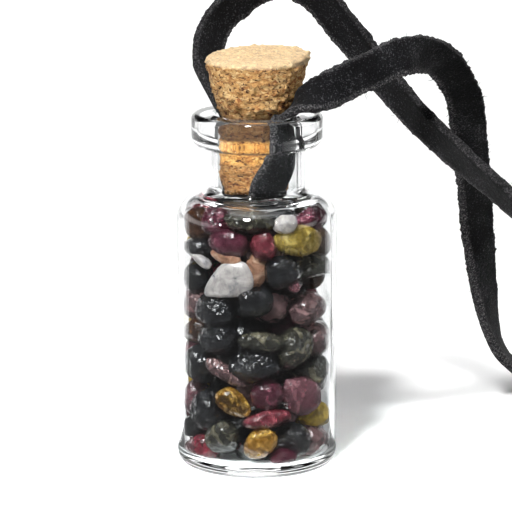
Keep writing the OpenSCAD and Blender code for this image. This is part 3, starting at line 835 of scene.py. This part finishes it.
def eased(value, low, high):
    """0 below low, 1 above high and smooth between."""
    share = min(1.0, max(0.0, (value - low) / (high - low)))
    return share * share * (3 - 2 * share)


def squeezed_out(point):
    """How far the cork bulges, in mm, where no lace lies between it and the glass."""
    angle = math.degrees(math.atan2(point.y, point.x)) % 360
    beside = eased(angle, *BULGE_FROM) * (1 - eased(angle, *BULGE_TO))
    in_neck = 1 - eased(point.z, BOTTLE_TOP - 1.6, BOTTLE_TOP + 0.8)
    low = eased(point.z, CORK_LOW, CORK_LOW + 2.5)
    return CORK_BULGE * beside * in_neck * (0.45 + 0.55 * low)


def pit_depth(point):
    """How deep the surface is dug at a point, in mm: small pits between grains and a few large ones."""
    small = noise.noise(point / 0.55)
    large = noise.noise(point / 1.5 + Vector((5, 3, 8)))
    seams = noise.noise(Vector((point.x / 1.1, point.y / 1.1, point.z / 0.45)) + Vector((1, 9, 2)))
    dug = 0.7 * max(0.0, small - 0.22) + 0.8 * max(0.0, large - 0.4)
    return min(DEEPEST_PIT, dug + 0.6 * max(0.0, seams - 0.3)) + 0.06 * noise.noise(point / 0.9)


def outward_ways(bm):
    """Each point with its own outward direction, noted before any point is moved."""
    bm.normal_update()
    return [(vert, vert.normal.copy()) for vert in bm.verts]


def cork_piece():
    """The cork, tilted a little at its top and pitted all over."""
    bm = bmesh.new()
    spun(bm, cork_outline, CORK_TURNS)
    for vert, outward in outward_ways(bm):
        point = vert.co / MM
        radius = Vector((point.x, point.y, 0))
        moved = point.copy()
        if radius.length > 0.5:
            moved += radius.normalized() * squeezed_out(point) * min(1.0, radius.length / 4)
        lifted = eased(point.z, BOTTLE_TOP + 2, CORK_TOP)
        moved.z += lifted * (CORK_RISE + CORK_TILT * point.x + CORK_LEAN * point.y)
        share = TOP_PIT_SHARE if point.z > CORK_TOP - 0.1 else 1.0
        moved -= outward * pit_depth(point) * share
        vert.co = moved * MM
    return finished_piece("pressed_cork", bm, "stopper")


cork = cork_piece()
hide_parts("cork_stopper")

# %% [markdown]
# Pressed cork is a mosaic of light and dark grains. A cell pattern gives each grain its own tan, finer
# noise mottles it, and dark pits are scattered over it. The sanded top is paler. In the neck, bands of
# painted light and shade by height stand for the bright and dark that the bends of the glass show there.

# %% Cork finish
CORK_BROWNS = [
    (0.0, shade(168, 112, 66)),
    (0.12, shade(204, 154, 96)),
    (0.4, shade(222, 178, 118)),
    (0.7, shade(232, 194, 136)),
    (1.0, shade(244, 216, 166)),
]
# Bands of painted light and shade up the neck, for what the bends of the glass show on the cork.
CORK_PAINTED_GLASS_LIGHT = [
    (0.0, shade(196, 178, 160)),
    (0.34, shade(206, 186, 164)),
    (0.38, shade(255, 244, 210)),
    (0.62, shade(255, 238, 196)),
    (0.66, shade(118, 106, 98)),
    (0.88, shade(136, 122, 108)),
    (0.95, shade(240, 238, 232)),
]
SANDED_FROM = 55.8 * MM
SANDED_TO = 56.2 * MM
GRAIN_WARP = (MM, MM, MM)
PIT_BROWN = (*shade(84, 46, 26), 1)
SANDED_CREAM = (*shade(246, 230, 198), 1)


def cork_finish():
    """Mottled tan grains and dark pits, all matt, with a paler top and painted light and shade bands in
    the neck.
    """
    finish, tree, surface, place = start_finish("pressed_cork")
    warp = clouds(tree, place, 900, 4).outputs["Color"]
    bend = {0: warp, 1: GRAIN_WARP, 2: place}
    bent = add(tree, "ShaderNodeVectorMath", bend, operation="MULTIPLY_ADD").outputs["Vector"]
    flat = add(tree, "ShaderNodeMapping", {"Vector": bent, "Scale": (1, 1, 1.9)}).outputs["Vector"]
    grains = add(tree, "ShaderNodeTexVoronoi", {"Vector": flat, "Scale": 1500}).outputs["Color"]
    tone = add(tree, "ShaderNodeSeparateColor", {"Color": grains}).outputs["Red"]
    fine = clouds(tree, flat, 2600, 5, 0.7).outputs
    pits = clouds(tree, flat, 1700, 4, 0.6).outputs
    mottles = [(0.36, shade(126, 84, 52)), (0.48, shade(220, 206, 184)), (0.64, shade(250, 246, 238))]
    fine_tone = ramp(tree, fine["Fac"], mottles)
    mottled = blend_colours(tree, 0.85, ramp(tree, tone, CORK_BROWNS), fine_tone, "MULTIPLY")
    pit = stretch(tree, pits["Fac"], 0.56, 0.62)
    height_at = add(tree, "ShaderNodeSeparateXYZ", {"Vector": place}).outputs["Z"]
    sanded = stretch(tree, height_at, SANDED_FROM, SANDED_TO)
    shallow = stretch(tree, sanded, 0.0, 1.0, 1.0, 0.9)
    pit_share = reckon(tree, "MULTIPLY", pit, shallow)
    pitted = blend_colours(tree, pit_share, mottled, PIT_BROWN)
    pale = blend_colours(tree, 0.42, pitted, SANDED_CREAM)
    topped = blend_colours(tree, sanded, pitted, pale)
    # Where the painted bands of light and shade fall, by height in the neck.
    painted_band_height = stretch(tree, height_at, CORK_LOW * MM, (BOTTLE_TOP + 1) * MM)
    height = blend_colours(tree, pit_share, fine["Color"], (0.0, 0.0, 0.0, 1.0))
    settings = {
        "Base Color": blend_colours(tree, 1.0, topped, ramp(tree, painted_band_height, CORK_PAINTED_GLASS_LIGHT), "MULTIPLY"),
        "Roughness": 0.85,
        "Normal": bumped(tree, height, 0.7, 0.0003),
    }
    feed(tree, surface, settings)
    return finish


cork_tan = cork_finish()
dress(cork, cork_tan)
print("cork dressed")

# %% [markdown]
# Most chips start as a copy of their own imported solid, which already leaves room for its neighbours and
# the glass. The copy is merged, cut finer and smoothed, so that its corners round off as they do in a
# tumbler. Then it is swollen until it leans on its neighbours, a few flats are pressed into it where the
# stone once split, and noise gives it shallow dents. Nothing may come through the glass. The loose chips
# behind are one piece of many shells, and each shell gets its own number for the colour.

# %% Tumbled stone chips
CHIP_SMOOTHING = 5
CHIP_SWELL = 0.3
CHIP_FLATS = 6
HIGHEST_FLAT = 0.98
FLAT_PRESS = 0.9
TUMBLED_FLAT = 0.66
DENT_SIZE = 1.3
SOLID_WELD = 1e-6
TONE_STEP = 0.618
GLASS_CLEARANCE = 0.07


def shells_of(bm):
    """The separate shells of a mesh, each as a list of its points."""
    left = dict.fromkeys(bm.verts)
    shells = []
    while left:
        first = next(iter(left))
        del left[first]
        reached = [first]
        for vert in reached:
            for edge in vert.link_edges:
                other = edge.other_vert(vert)
                if other in left:
                    del left[other]
                    reached.append(other)
        shells.append(reached)
    return shells


def smoothed(bm, times):
    """Rounds every corner a little, several times."""
    for _ in range(times):
        bmesh.ops.smooth_vert(
            bm, verts=bm.verts, factor=0.5, use_axis_x=True, use_axis_y=True, use_axis_z=True
        )


def press_flats(shell, least):
    """Presses a few flats into one chip, each square to its own direction."""
    middle = sum((vert.co for vert in shell), Vector()) / len(shell)
    for _ in range(CHIP_FLATS):
        way = noise.random_unit_vector()
        reach = max((vert.co - middle).dot(way) for vert in shell)
        flat = reach * (least + (HIGHEST_FLAT - least) * noise.random())
        for vert in shell:
            over = (vert.co - middle).dot(way) - flat
            if over > 0:
                vert.co -= way * over * FLAT_PRESS


def kept_inside(point):
    """The point, in mm, moved back where it would come through the inside of the glass."""
    clear = INNER_RADIUS - GLASS_CLEARANCE
    top = SHOULDER_HEIGHT - WALL - GLASS_CLEARANCE
    height = min(max(point.z, FLOOR_HEIGHT + GLASS_CLEARANCE), top)
    radius = math.hypot(point.x, point.y)
    bend_height = SHOULDER_HEIGHT - SHOULDER_ROUND
    bend = SHOULDER_ROUND - WALL - GLASS_CLEARANCE
    if height > bend_height:
        clear = BEND_RADIUS + math.sqrt(max(0.0, bend**2 - (height - bend_height) ** 2))
    heel_height = FLOOR_HEIGHT + FLOOR_ROUND
    heel = FLOOR_ROUND - GLASS_CLEARANCE
    if height < heel_height:
        clear = INNER_RADIUS - FLOOR_ROUND + math.sqrt(max(0.0, heel**2 - (heel_height - height) ** 2))
    scale = min(1.0, clear / max(radius, 0.001))
    return Vector((point.x * scale, point.y * scale, height))


def dent_stone(bm, unit, large, small, small_size):
    """Gives a stone shallow dents and keeps it inside the glass. The unit is that of its points."""
    for vert, outward in outward_ways(bm):
        point = vert.co / unit
        dent = large * noise.noise(point / DENT_SIZE) + small * noise.noise(point / small_size)
        vert.co = kept_inside(point + outward * dent) * MM


def tumbled(name, node_name, cuts):
    """A chip, or a heap of them, with the rounded edges, flats and dents that tumbling leaves."""
    bm = bmesh.new()
    bm.from_mesh(NODES[node_name].data)
    tone = bm.verts.layers.float.new("chip")
    bmesh.ops.remove_doubles(bm, verts=bm.verts, dist=SOLID_WELD)
    bmesh.ops.subdivide_edges(bm, edges=bm.edges, cuts=cuts, use_grid_fill=True)
    smoothed(bm, CHIP_SMOOTHING)
    for vert, outward in outward_ways(bm):
        vert.co += outward * CHIP_SWELL * MM
    shells = shells_of(bm)
    for number, shell in enumerate(shells):
        press_flats(shell, TUMBLED_FLAT)
        for vert in shell:
            vert[tone] = (TONE_STEP * number + 0.1) % 1.0
    smoothed(bm, 1)
    dent_stone(bm, MM, large=0.1, small=0.04, small_size=0.5)
    return finished_piece(name, bm, "bottle"), len(shells)


print("ready to tumble chips that end", GLASS_CLEARANCE, "mm short of the glass")

# %% [markdown]
# Some chips stand out in front: the clear drop, the big yellow one and others. Each of them is an egg with
# its own place seen from the front, its own half length, half height and half depth, a roll, a taper and a
# distance behind the glass, and two also have a smoky middle. It lies at its listed place and turns
# halfway towards the front.

# %% The chips that stand out
SHOWN_CHIPS = {
    3: ((7.0, 35.0), (2.5, 1.8, 1.6), 20, 0.2, 0.1),
    4: ((-1.1, 35.4), (3.5, 1.6, 1.5), -4, 0.1, 0.4),
    5: ((3.7, 35.0), (1.7, 1.4, 1.3), 15, 0.2, 0.2),
    6: ((-3.8, 32.4), (2.8, 2.2, 1.6), -14, 0.2, 0.1),
    7: ((5.3, 32.6), (3.5, 2.3, 1.6), -6, 0.12, 0.0, 0.14),
    8: ((0.8, 32.1), (1.8, 2.2, 1.4), 12, 0.15, 0.5),
    11: ((-7.4, 29.5), (1.8, 0.9, 0.9), -34, 0.4, 0.4),
    12: ((-4.0, 30.4), (2.4, 1.4, 1.2), -20, 0.4, 0.5),
    13: ((-0.1, 28.5), (2.6, 1.8, 1.3), 80, 0.2, 1.6),
    14: ((-4.0, 27.1), (3.7, 3.7, 1.3), 30, 0.74, 0.0),
    17: ((4.8, 26.6), (0.9, 1.3, 1.0), 10, 0.3, 0.1),
    24: ((0.5, 18.9), (3.1, 1.5, 1.5), -6, 0.15, 0.1),
    30: ((-4.2, 14.4), (3.2, 1.35, 1.4), 148, 0.35, 0.0),
    32: ((1.3, 11.4), (2.3, 2.3, 1.6), 20, 0.1, 0.4),
    33: ((5.7, 10.8), (3.1, 3.0, 1.8), -40, 0.2, 0.2),
    35: ((-3.1, 10.2), (2.7, 2.1, 1.5), 145, 0.35, 0.1, 0.85),
    37: ((1.3, 8.1), (3.4, 1.3, 1.4), 11, 0.15, 0.0),
    38: ((-4.7, 5.0), (2.5, 2.5, 1.7), 30, 0.2, 0.4),
    39: ((0.4, 4.7), (2.6, 2.2, 1.5), 42, 0.25, 0.0),
}
FACING_SHARE = 0.5
SHOWN_FLAT = 0.84
CHIP_SEED = 40


def shown_chip(name, seen_at, half, roll, taper, behind, smoky=0.0):
    """An egg-shaped chip that leans towards the glass, with flats, dents and perhaps a smoky middle."""
    across, height = seen_at
    reach = INNER_RADIUS - GLASS_CLEARANCE - half[2] - behind
    seat = Vector((across, -math.sqrt(max(reach**2 - across**2, 1.0)), height))
    angle = math.asin(across / INNER_RADIUS) * FACING_SHARE
    along = Vector((math.cos(angle), math.sin(angle), 0))
    out = Vector((math.sin(angle), -math.cos(angle), 0))
    up = Vector((0, 0, 1))
    turn = math.radians(roll)
    long_way = along * math.cos(turn) + up * math.sin(turn)
    tall_way = up * math.cos(turn) - along * math.sin(turn)
    bm = bmesh.new()
    smoke = bm.verts.layers.float.new("smoke")
    bmesh.ops.create_icosphere(bm, subdivisions=5, radius=1)
    for vert in bm.verts:
        u, v, w = vert.co
        vert[smoke] = smoky * (1 - eased(math.hypot(u, v), 0.62, 0.95))
        thinner = 1 - taper * (1 - u) / 2
        vert.co = seat + long_way * u * half[0] + (tall_way * v * half[1] + out * w * half[2]) * thinner
    press_flats(list(bm.verts), SHOWN_FLAT)
    smoothed(bm, 2)
    dent_stone(bm, 1, large=0.09, small=0.03, small_size=0.45)
    return finished_piece(name, bm, "bottle")


noise.seed_set(CHIP_SEED)
chips = []
for number in range(1, 41):
    node_name = f"stone_{number:02d}"
    if number in SHOWN_CHIPS:
        chip = shown_chip(f"chip_{number:02d}", *SHOWN_CHIPS[number])
    else:
        chip, _ = tumbled(f"chip_{number:02d}", node_name, 4)
    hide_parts(node_name)
    chips.append(chip)
loose_chips, loose_count = tumbled("chips_loose", "stone_fill", 3)
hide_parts("stone_fill")
print("main chips:", len(chips), "and loose chips:", loose_count)

# %% [markdown]
# The chips are polished tourmaline, mixed with a little quartz. Each kind has its own dark, middle and
# light tones in cloudy bands, flaws, a glossy skin, and as much clearness as that stone has. A chip may
# also have a smoky middle. One recipe makes all of these, and a shorter one dresses the loose chips.

# %% Polished stone finishes
STONE_TONES = {
    "black": ((5, 5, 7), (15, 16, 18), (44, 45, 48)),
    "slate": ((11, 12, 9), (40, 39, 33), (98, 93, 76)),
    "brown": ((22, 9, 4), (56, 30, 14), (118, 76, 40)),
    "plum": ((26, 8, 14), (68, 25, 38), (130, 70, 86)),
    "red": ((40, 8, 13), (98, 30, 41), (166, 94, 102)),
    "rose": ((48, 25, 32), (96, 56, 64), (136, 96, 102)),
    "mauve": ((44, 31, 33), (90, 67, 68), (150, 122, 120)),
    "olive": ((74, 58, 16), (158, 132, 46), (228, 208, 130)),
    "gold": ((60, 36, 6), (176, 124, 34), (248, 216, 118)),
    "peach": ((88, 60, 46), (142, 104, 82), (198, 166, 142)),
    "clear": ((150, 150, 158), (222, 215, 212), (255, 250, 246)),
}
CLEARNESS = 0.3
STONE_CLEARNESS = {
    "black": 0.0,
    "slate": 0.0,
    "brown": 0.25,
    "red": 0.35,
    "olive": 0.55,
    "gold": 0.6,
    "clear": 0.62,
}
FLAWS = 0.5
STONE_FLAWS = {"clear": 0.12, "peach": 0.12, "olive": 0.35}
STONE_GRAIN = {"black": 0.75, "slate": 0.75, "clear": 0.12, "peach": 0.25, "olive": 0.45}
GRAIN = 0.5
LOOSE_GRAIN = 0.6
SMOKE_BROWN = (0.012, 0.008, 0.003, 1)
LOOSE_KINDS = "black plum black slate mauve black olive brown black rose slate red".split()
STONE_KINDS = (
    "brown plum plum slate clear plum olive red brown black clear peach peach clear "
    "black slate rose black black mauve mauve black brown slate black mauve slate black "
    "black mauve slate plum rose rose gold black red slate gold black"
).split()


def polish(tree, surface, place, grain):
    """The glossy skin of a tumbled stone: fine scuffs, small nicks and a clear coat."""
    scuffs = clouds(tree, place, 900, 4).outputs["Fac"]
    nicks = add(tree, "ShaderNodeTexVoronoi", {"Vector": place, "Scale": 1400}, feature="F1")
    facing = bumped(tree, reckon(tree, "ADD", scuffs, nicks.outputs["Distance"]), grain, 0.0003)
    settings = {
        "Roughness": stretch(tree, scuffs, 0.0, 1.0, 0.02, 0.3),
        "Normal": facing,
        "Coat Normal": facing,
        "IOR": 1.62,
        "Coat Weight": 0.6,
        "Coat Roughness": 0.03,
    }
    feed(tree, surface, settings)


def stone_finish(kind):
    """Cloudy bands in three tones of one kind of stone, with dark flaws in them."""
    dark, middle, light = (shade(*tone) for tone in STONE_TONES[kind])
    finish, tree, surface, place = start_finish("stone_" + kind)
    cloud = clouds(tree, place, 420, 6, 0.6, 1.6).outputs["Fac"]
    bands = ramp(tree, cloud, [(0.28, dark), (0.5, middle), (0.76, light)])
    flaws = clouds(tree, place, 1100, 4, 0.5, 2.5).outputs["Fac"]
    greys = [(0.34, (0.12, 0.12, 0.12)), (0.44, (0.85, 0.85, 0.85)), (0.62, (1.0, 1.0, 1.0))]
    share = STONE_FLAWS.get(kind, FLAWS)
    colour = blend_colours(tree, share, bands, ramp(tree, flaws, greys), "MULTIPLY")
    smoke = add(tree, "ShaderNodeAttribute", attribute_name="smoke").outputs["Fac"]
    thick = reckon(tree, "MULTIPLY", smoke, stretch(tree, cloud, 0.62, 0.46))
    smoky = blend_colours(tree, thick, colour, SMOKE_BROWN)
    polish(tree, surface, place, STONE_GRAIN.get(kind, GRAIN))
    feed(tree, surface, {"Base Color": smoky, "Transmission Weight": STONE_CLEARNESS.get(kind, CLEARNESS)})
    return finish


def mixed_finish():
    """The loose chips' finish: each shell takes its tone from its own number."""
    finish, tree, surface, place = start_finish("stone_mixed")
    number = add(tree, "ShaderNodeAttribute", attribute_name="chip").outputs["Fac"]
    count = len(LOOSE_KINDS)
    steps = [(k / count, shade(*STONE_TONES[kind][1])) for k, kind in enumerate(LOOSE_KINDS)]
    base = ramp(tree, number, steps)
    base.node.color_ramp.interpolation = "CONSTANT"
    cloud = clouds(tree, place, 330, 5, 0.5, 1.2).outputs["Fac"]
    greys = [(0.3, (0.25, 0.25, 0.25)), (0.5, (0.9, 0.9, 0.9)), (0.7, (1.0, 1.0, 1.0))]
    colour = blend_colours(tree, 0.9, base, ramp(tree, cloud, greys), "MULTIPLY")
    feed(tree, surface, {"Base Color": colour})
    polish(tree, surface, place, LOOSE_GRAIN)
    return finish


stone_finishes = {kind: stone_finish(kind) for kind in STONE_TONES}
for chip, kind in zip(chips, STONE_KINDS):
    dress(chip, stone_finishes[kind])
stone_mixed = mixed_finish()
dress(loose_chips, stone_mixed)
print("stone finishes:", len(stone_finishes) + 1)

# %% [markdown]
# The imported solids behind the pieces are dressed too, in the same finishes, so that each of them looks
# right wherever it is shown by itself.

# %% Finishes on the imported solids
node_finishes = {"glass_bottle": clear_glass, "cork_stopper": cork_tan, "stone_fill": stone_mixed}
for node_name, node in NODES.items():
    finish = node_finishes.get(node_name, black_leather)
    if node_name.startswith("stone_") and node_name != "stone_fill":
        finish = stone_finishes[STONE_KINDS[int(node_name[-2:]) - 1]]
    node.data.materials.clear()
    node.data.materials.append(finish)
print("packed solids dressed:", len(NODES))

# %% [markdown]
# The stage is a broad sheet of white paper. Clear glass would mirror the bright paper in front of it and
# hide the stones under a veil, so a black cloth lies round the front. It is seen by mirrored and bent
# light only: the camera sees the paper, and no shadow falls from the cloth.

# %% Floor and black cloth
PAPER_HALF = 2.5
CLOTH_NEAR = 12.5 * MM
CLOTH_FAR = 2.4
CLOTH_HEIGHT = 0.4 * MM
CLOTH_PAST_SIDES = 28
CLOTH_GLOW = 0.1


def stage_piece(name, bm, finish):
    """A bmesh as an object of the stage, with one finish."""
    mesh = bpy.data.meshes.new(name)
    bm.to_mesh(mesh)
    bm.free()
    mesh.materials.append(finish)
    piece = bpy.data.objects.new(name, mesh)
    scene.collection.objects.link(piece)
    return piece


def floor_piece():
    """A broad plain sheet under the bottle."""
    bm = bmesh.new()
    bmesh.ops.create_grid(bm, x_segments=2, y_segments=2, size=PAPER_HALF)
    finish, tree, surface, place = start_finish("white_paper")
    fibre = clouds(tree, place, 40).outputs["Fac"]
    paper = ramp(tree, fibre, [(0.3, (0.9, 0.9, 0.9)), (0.7, (0.93, 0.93, 0.93))])
    feed(tree, surface, {"Base Color": paper, "Roughness": 0.8, "Specular IOR Level": 0.1})
    floor = stage_piece("floor", bm, finish)
    return floor


def black_card():
    """A ring of black cloth round the front, with a faint glow for light that is bent by the glass."""
    bm = bmesh.new()
    near = bm.verts.new((-CLOTH_NEAR, 0, CLOTH_HEIGHT))
    far = bm.verts.new((-CLOTH_FAR, 0, CLOTH_HEIGHT))
    start = Matrix.Rotation(math.radians(-CLOTH_PAST_SIDES), 3, "Z")
    bmesh.ops.rotate(bm, verts=bm.verts, matrix=start)
    bmesh.ops.spin(
        bm,
        geom=[near, far, bm.edges.new((near, far))],
        cent=(0, 0, 0),
        axis=(0, 0, 1),
        angle=math.radians(180 + 2 * CLOTH_PAST_SIDES),
        steps=60,
    )
    finish, tree, surface, place = start_finish("black_cloth")
    weave = clouds(tree, place, 900).outputs["Fac"]
    cloth = ramp(tree, weave, [(0.3, (0.004, 0.004, 0.004)), (0.7, (0.01, 0.01, 0.01))])
    through = add(tree, "ShaderNodeLightPath").outputs["Is Transmission Ray"]
    glow = stretch(tree, through, 0.0, 1.0, 0.0, CLOTH_GLOW)
    feed(tree, surface, {"Base Color": cloth, "Roughness": 1.0, "Emission Strength": glow})
    card = stage_piece("black_card", bm, finish)
    card.visible_camera = False
    card.visible_diffuse = False
    card.visible_shadow = False


black_card()
floor = floor_piece()
print("floor is", round(floor.dimensions.x, 1), "m wide")

# %% [markdown]
# The key lamp hangs high at the front left and casts the shadow, and a small one at the right lightens
# it. Four small lamps put bright points on the stones, and three soft boxes light the paper behind. Each
# row of the table has a place, an aim, a size in metres, a spread in degrees and a power in watts. The
# world is a white band low behind the bottle and at its sides, and a white patch overhead, so that the
# glass has white in it and dark lines at its edges. It lights the paper only a little, so that the
# shadow stays.

# %% Lamps and world
SKY_IN_GLASS = 1.3
SKY_ON_PAPER = 0.12
LAMPS = {
    "key": ((-0.13, -0.37, 0.52), (0.02, 0.04, 0.0), 0.075, 50, 0.5),
    "front_left": ((-0.26, -0.4, 0.34), (0.0, 0.02, 0.035), 0.02, 13, 0.002),
    "front_right": ((0.26, -0.42, 0.36), (0.0, 0.02, 0.03), 0.02, 13, 0.002),
    "spark_left": ((-0.42, -0.3, 0.2), (0.0, 0.0, 0.025), 0.014, 10, 0.0008),
    "spark_right": ((0.45, -0.25, 0.24), (0.0, 0.0, 0.025), 0.014, 10, 0.0008),
    "shadow_fill": ((0.3, -0.35, 0.35), (0.021, -0.002, 0.0), 0.02, 4.5, 0.0018),
    "soft_box_left": ((-0.5, 0.3, 0.45), (-0.3, 0.16, 0.0), 0.25, 36, 0.25),
    "soft_box_right": ((0.6, 0.3, 0.45), (0.36, 0.16, 0.0), 0.25, 36, 0.25),
    "soft_box_back": ((0.05, 0.95, 0.5), (0.0, 0.52, 0.0), 0.5, 58, 1.7),
}


def hang_lamp(name, place, aim, size, spread, power):
    """A square lamp at a place, with its light gathered round its aim."""
    lamp_data = bpy.data.lights.new(name, "AREA")
    lamp_data.size = size
    lamp_data.energy = power
    lamp_data.spread = math.radians(spread)
    lamp = bpy.data.objects.new(name, lamp_data)
    lamp.location = place
    lamp.rotation_euler = (Vector(aim) - Vector(place)).to_track_quat("-Z", "Y").to_euler()
    scene.collection.objects.link(lamp)


for name, setting in LAMPS.items():
    hang_lamp(name, *setting)

world = bpy.data.worlds.new("studio")
world.use_nodes = True
scene.world = world
sky = world.node_tree
sky_way = add(sky, "ShaderNodeTexCoord").outputs["Generated"]
sky_parts = add(sky, "ShaderNodeSeparateXYZ", {"Vector": sky_way}).outputs
sideness = reckon(sky, "ABSOLUTE", sky_parts["X"])
turned = reckon(sky, "MULTIPLY_ADD", sideness, 0.6, sky_parts["Y"])
behind = stretch(sky, turned, 0.0, 0.35)
low = stretch(sky, sky_parts["Z"], 0.16, 0.26, 1.0, 0.0)
overhead = stretch(sky, sky_parts["Z"], 0.9, 0.93)
paleness = reckon(sky, "MAXIMUM", reckon(sky, "MULTIPLY", behind, low), overhead)
spread_light = add(sky, "ShaderNodeLightPath").outputs["Is Diffuse Ray"]
sky_settings = {
    "Color": ramp(sky, paleness, [(0.0, (0.02, 0.02, 0.02)), (1.0, (1.0, 1.0, 1.0))]),
    "Strength": stretch(sky, spread_light, 0.0, 1.0, SKY_IN_GLASS, SKY_ON_PAPER),
}
feed(sky, sky.nodes["Background"], sky_settings)
scene.view_settings.view_transform = "Standard"
print("lamps:", len(LAMPS))
